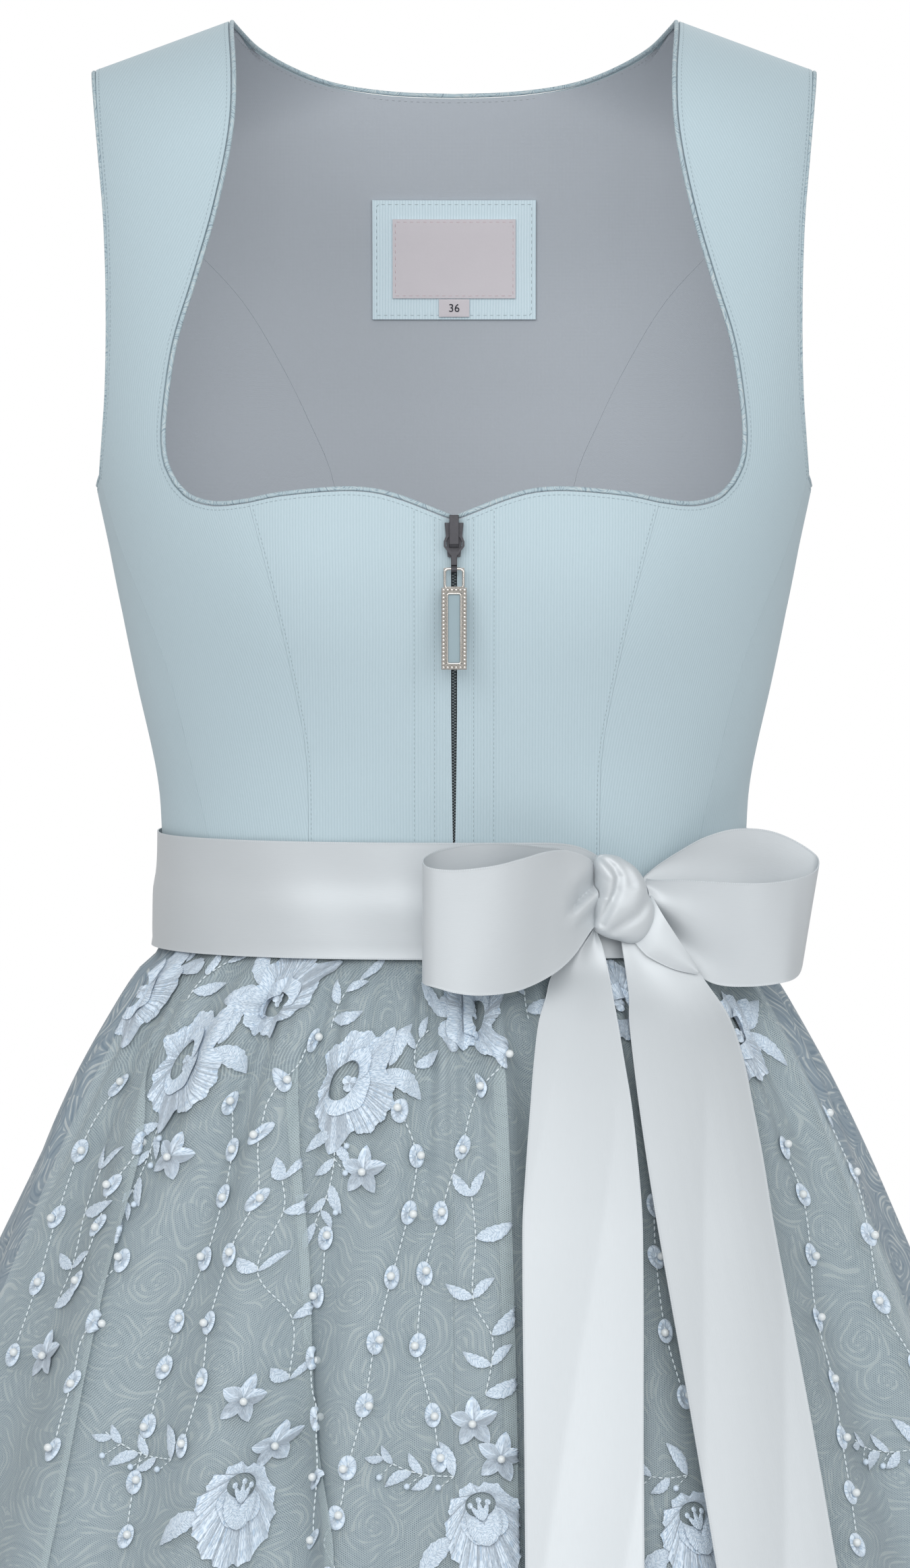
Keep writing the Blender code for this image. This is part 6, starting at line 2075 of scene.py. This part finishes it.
class Needlework:
    """What is sewn on the apron, laid on its cloth one form after another."""

    def __init__(self, sizes):
        self.cloth = ApronCloth()
        self.pearl_radius = sizes.pearl
        self.flowers, self.stars, self.leaves, self.threads, self.pearls = [], [], [], [], []
        self.stitch, self.pearl, self.berry = ball(1), ball(2), ball(1)
        self.open_rose, self.full_rose = rose_cuttings(), full_rose_cuttings()
        self.star = polar_sheet(
            80, 7,
            lambda angle: STAR_REACH * (
                0.52 + 0.48 * abs(((angle * 5 / (2 * math.pi)) % 1) * 2 - 1) ** 1.05),
            lift=lambda angle, up: (0.9 * math.sin(math.pi * up) + 1.0 * up ** 8
                                    - 0.9 * abs(math.cos(2.5 * angle)) ** 14 * up),
        )
        self.oval = polar_sheet(
            28, 7, hole_edge(*OVAL_HALVES, 0.0),
            lift=lambda angle, up: 0.1 + 2.4 * math.exp(-((up - 0.74) / 0.20) ** 2),
        )
        self.broad, self.slim = leaf_cutting(*BROAD_LEAF), leaf_cutting(*SLIM_LEAF)

    def put(self, store, cutting, anchor, height, tilt=0.0, size=1.0, foot=(0.0, 0.0)):
        """Lays a form on the cloth, unless it is past the hem or under the ribbon."""
        if height < APRON_HEM + 0.02:
            return
        points = turned(cutting.points, tilt, size) + (*foot, 0.0)
        laid = self.cloth.laid(anchor, height, points)[0]
        if not under_tail(laid.mean(0)):
            store.append((cutting, laid))

    def bead(self, store, cutting, radius, anchor, height, side=0.0, up=0.0, lift=0.0):
        """Sews a ball on beside an anchor."""
        if height + up < APRON_HEM + 0.008:
            return
        middle = np.array(((side, up, LACE_LIFT + radius * 0.7 + lift),))
        spot, _ = self.cloth.laid(anchor, height, middle)
        if not under_tail(spot[0]):
            store.append((cutting, cutting.points * radius + spot))

    def sew(self, points, outward, stitch, radius):
        """Sews a row of raised stitches along a line."""
        self.threads += stitches_on(self.stitch, points, outward, stitch, 0.0001, radius)

    def thread_run(self, spots):
        """Sews a thread through spots of the cloth."""
        fine = np.linspace(0, len(spots) - 1, len(spots) * 5)
        run = [
            self.cloth.laid(anchor, height, np.array(((0.0, 0.0, THREAD_LIFT),)))
            for anchor, height in smooth_rows(np.arange(len(spots)), spots, fine)
            if APRON_HEM + 0.004 <= height <= APRON_TOP - 0.002
        ]
        if len(run) > 2:
            self.sew(*np.concatenate(run, axis=1), *THREAD_STITCH)

    def chain(self, spots, first):
        """A thread with a pearl in an oval at each of its spots."""
        self.thread_run(spots)
        for index, (anchor, height) in enumerate(spots):
            way = 1.0 if (index + first) % 3 else -1.0
            self.put(self.leaves, self.oval, anchor, height, 0.25 * math.sin(index * 2.1))
            self.bead(self.pearls, self.pearl, self.pearl_radius, anchor, height, 0.0014 * way,
                      0.0010 * math.cos(index * 1.7), 0.0004)

    def sprig(self, anchor, height, direction, count):
        """A bent stem with leaves on both sides, and berries on short stems."""
        angle = math.radians(direction)
        way = np.array((math.cos(angle), math.sin(angle)))
        stem = np.linspace(0, 1, 9)
        reach, bow = 0.0062 * count * stem, 0.004 * np.sin(stem * math.pi)
        flat = np.stack((way[0] * reach - way[1] * bow, way[1] * reach + way[0] * bow,
                         np.full(9, THREAD_LIFT)), -1)
        self.sew(*self.cloth.laid(anchor, height, flat), *STEM_STITCH)
        for index in range(count):
            share = (index + 0.6) / count
            foot = flat[min(int(share * 8), 8), :2]
            hand = 1 if index % 2 else -1
            leaf = self.slim if index % 3 else self.broad
            tilt = angle - math.pi / 2 + hand * (0.75 if index < count - 1 else 0.1)
            self.put(self.leaves, leaf, anchor, height, tilt, 1.0 - 0.25 * share, foot)
            if index % 2 == 0 and count > 4:
                berry_way = angle + hand * -0.9
                end = foot + 0.0085 * np.array((math.cos(berry_way), math.sin(berry_way)))
                self.bead(self.leaves, self.berry, BERRY_RADIUS, anchor, height, *end)
                short = np.linspace(0, 1, 4)[:, None]
                run = np.concatenate((foot * (1 - short) + end * short,
                                      np.full((4, 1), THREAD_LIFT)), axis=1)
                self.sew(*self.cloth.laid(anchor, height, run), *BERRY_STITCH)

    def vine(self, spots):
        """A thread with leaves at its spots."""
        self.thread_run(spots)
        for index, spot in enumerate(spots):
            tilt = (1 if index % 2 else -1) * (1.1 if index % 3 else 0.7)
            self.put(self.leaves, self.broad if index % 2 else self.slim, *spot, -tilt, 1.1)
            if index % 2 == 0:
                self.put(self.leaves, self.slim, *spot, tilt * 0.8)

    def shown(self, drop, degrees, height, lead=None):
        """The cloth's turn and the height of a spot in a repeat, led by its run's middle."""
        if drop == 0:
            return self.cloth.spot(degrees, height), height
        shift = REPEAT_TURN * (drop % 2)
        middle = (degrees if lead is None else lead) + shift
        turn = degrees + shift
        if abs(middle) > 60:
            turn -= math.copysign(122.0, middle)
        level = height - REPEAT_DROP * drop
        return self.cloth.spot(turn, max(level, APRON_HEM)), level

    def run_shown(self, drop, spots):
        """The spots of a thread's run in a repeat."""
        middle = sum(degrees for degrees, _ in spots) / len(spots)
        return [self.shown(drop, *spot, middle) for spot in spots]

    def repeat(self, drop):
        """Sews the whole pattern once: as it shows at the top, or as it repeats further down."""
        highest = REPEATS_FROM if drop else 0.0
        for degrees, height, size, lean in ROSES:
            if drop % 2 or (drop and (height < -0.60 or height > -0.43)):
                continue
            anchor, level = self.shown(drop, degrees, height)
            if level > APRON_HEM + 0.03:
                for part in self.full_rose if height < -0.60 else self.open_rose:
                    self.put(self.flowers, part, anchor, level, lean, size)
        for degrees, height, lean in STARS:
            anchor, level = self.shown(drop, degrees, height)
            if level < highest:
                self.put(self.stars, self.star, anchor, level, lean)
                self.bead(self.pearls, self.pearl, self.pearl_radius * 0.95, anchor, level,
                          0.0, -0.001, 0.0006)
        for first, spots in enumerate(CHAINS):
            low = -0.62 - REPEAT_DROP * drop if drop else APRON_HEM + 0.01
            low = max(low, APRON_HEM + 0.01)
            found = [spot for spot in self.run_shown(drop, spots) if low < spot[1] < highest]
            if len(found) > 2:
                self.chain(found, first)
        for degrees, height, direction, count in SPRIGS:
            if drop and (height < -0.60 or height > -0.43):
                continue
            anchor, level = self.shown(drop, degrees, height)
            if APRON_HEM + 0.04 < level < highest:
                self.sprig(anchor, level, direction, count)
        for spots in VINES:
            found = self.run_shown(drop, spots)
            if found[-1][1] > APRON_HEM + 0.02:
                self.vine(found)


class DIRNDL_OT_embroidery(bpy.types.Operator):
    """Embroiders the apron with roses, stars, leaves, bead chains and pearls"""

    bl_idname = "dirndl.embroidery"
    bl_label = "Embroidery"

    def execute(self, context):
        work = Needlework(context.scene.dirndl_sizes)
        for drop in range(REPEATS):
            work.repeat(drop)
        for name, laid, finish in (
            ("embroidery_flowers", work.flowers, "lace"), ("embroidery_stars", work.stars, "lace"),
            ("embroidery_leaves", work.leaves, "lace"), ("embroidery_threads", work.threads, "floss"),
            ("embroidery_pearls", work.pearls, "pearl"),
        ):
            lay_down(name, laid, finish, slot="apron_tulle")
        return {"FINISHED"}


# The studio

VIEW_TARGET, VIEW_DISTANCE, VIEW_TILT, VIEW_LENS = (0.0004, 0.0, -0.325), 3.0, math.radians(3), 156.0
FLOOR_RADIUS, FLOOR_GAP = 1.9, 0.004
LIGHT_ON_DIRNDL, WHITE_BEHIND = 0.50, 1.0
LAMPS = (  # name, place, what it shines at, width where it isn't the largest, power
    ("studio_key", (-0.9, -2.5, 1.1), (0.0, 0.0, -0.35), None, 36),
    ("studio_fill", (1.5, -2.4, 0.7), (0.0, 0.0, -0.35), None, 22),
    ("studio_front", (0.1, -3.1, 0.5), (0.0, 0.0, -0.25), 1.3, 13),
    ("studio_back", (0.5, 3.0, 1.9), (0.0, 0.0, -0.45), None, 40),
)


def aimed(name, data, place, target):
    """A lamp or camera set up at a place and pointed at its target."""
    holder = bpy.data.objects.new(name, data)
    holder.location = place
    holder.rotation_euler = (Vector(target) - Vector(place)).to_track_quat("-Z", "Y").to_euler()
    bpy.context.collection.objects.link(holder)
    return holder


class DIRNDL_OT_studio(bpy.types.Operator):
    """Sets the floor, the soft lights and the camera"""

    bl_idname = "dirndl.studio"
    bl_label = "Studio"

    def execute(self, context):
        scene = context.scene
        scene.view_settings.view_transform = "Standard"
        build = bmesh.new()
        bmesh.ops.create_circle(build, cap_ends=True, radius=FLOOR_RADIUS, segments=96)
        level = Vector((0.0, 0.0, SOLIDS_BOX[0][2] - FLOOR_GAP))
        bmesh.ops.translate(build, vec=level, verts=build.verts)
        mesh = made_mesh(build, "floor")
        mesh.materials.append(finish_for("floor"))
        floor = bpy.data.objects.new("studio_floor", mesh)
        context.collection.objects.link(floor)

        world = bpy.data.worlds.new("studio")
        scene.world = world
        world.use_nodes = True
        nodes, links = world.node_tree.nodes, world.node_tree.links
        path = nodes.new("ShaderNodeLightPath")
        strength = nodes.new("ShaderNodeMix")
        strength.inputs[2].default_value = LIGHT_ON_DIRNDL
        strength.inputs[3].default_value = WHITE_BEHIND
        links.new(path.outputs["Is Camera Ray"], strength.inputs[0])
        links.new(strength.outputs[0], nodes["Background"].inputs["Strength"])
        nodes["Background"].inputs["Color"].default_value = (1.0, 1.0, 1.0, 1.0)

        for name, place, target, width, power in LAMPS:
            light = bpy.data.lights.new(name, "AREA")
            light.shape = "RECTANGLE"
            light.size = width or scene.dirndl_sizes.lamp
            light.size_y = light.size * 0.8
            light.energy = power
            aimed(name, light, place, target)

        camera = bpy.data.cameras.new("studio_camera")
        camera.sensor_fit = "VERTICAL"
        camera.sensor_height = 36.0
        camera.lens = VIEW_LENS
        away = Vector((0.0, -math.cos(VIEW_TILT), math.sin(VIEW_TILT))) * VIEW_DISTANCE
        scene.camera = aimed("studio_camera", camera, Vector(VIEW_TARGET) + away, VIEW_TARGET)
        return {"FINISHED"}


OPERATORS = (
    DIRNDL_OT_bodice, DIRNDL_OT_piping, DIRNDL_OT_stitching, DIRNDL_OT_skirt, DIRNDL_OT_apron,
    DIRNDL_OT_embroidery, DIRNDL_OT_ribbon, DIRNDL_OT_bow, DIRNDL_OT_tails, DIRNDL_OT_zip,
    DIRNDL_OT_pendant, DIRNDL_OT_labels, DIRNDL_OT_studio,
)


class DIRNDL_PT_panel(bpy.types.Panel):
    """The dirndl's sizes, colours and making steps"""

    bl_label = "Dirndl"
    bl_idname = "DIRNDL_PT_panel"
    bl_space_type = "VIEW_3D"
    bl_region_type = "UI"
    bl_category = "Dirndl"

    def draw(self, context):
        for group in (context.scene.dirndl_sizes, context.scene.dirndl_colours):
            box = self.layout.box()
            for name in group.__annotations__:
                box.prop(group, name)
        for step in OPERATORS:
            self.layout.operator(step.bl_idname)


CLASSES = (DirndlSizes, DirndlColours, *OPERATORS, DIRNDL_PT_panel)


def register():
    """Makes the panel, its steps and its settings known to Blender."""
    for made in CLASSES:
        bpy.utils.register_class(made)
    bpy.types.Scene.dirndl_sizes = PointerProperty(type=DirndlSizes)
    bpy.types.Scene.dirndl_colours = PointerProperty(type=DirndlColours)


def unregister():
    """Takes them away again."""
    del bpy.types.Scene.dirndl_sizes
    del bpy.types.Scene.dirndl_colours
    for made in reversed(CLASSES):
        bpy.utils.unregister_class(made)


def main():
    """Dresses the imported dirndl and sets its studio."""
    register()
    bpy.ops.dirndl.bodice()
    bpy.ops.dirndl.piping()
    bpy.ops.dirndl.stitching()
    bpy.ops.dirndl.skirt()
    bpy.ops.dirndl.apron()
    bpy.ops.dirndl.embroidery()
    bpy.ops.dirndl.ribbon()
    bpy.ops.dirndl.bow()
    bpy.ops.dirndl.tails()
    bpy.ops.dirndl.zip()
    bpy.ops.dirndl.pendant()
    bpy.ops.dirndl.labels()
    bpy.ops.dirndl.studio()


if __name__ == "__main__":
    main()
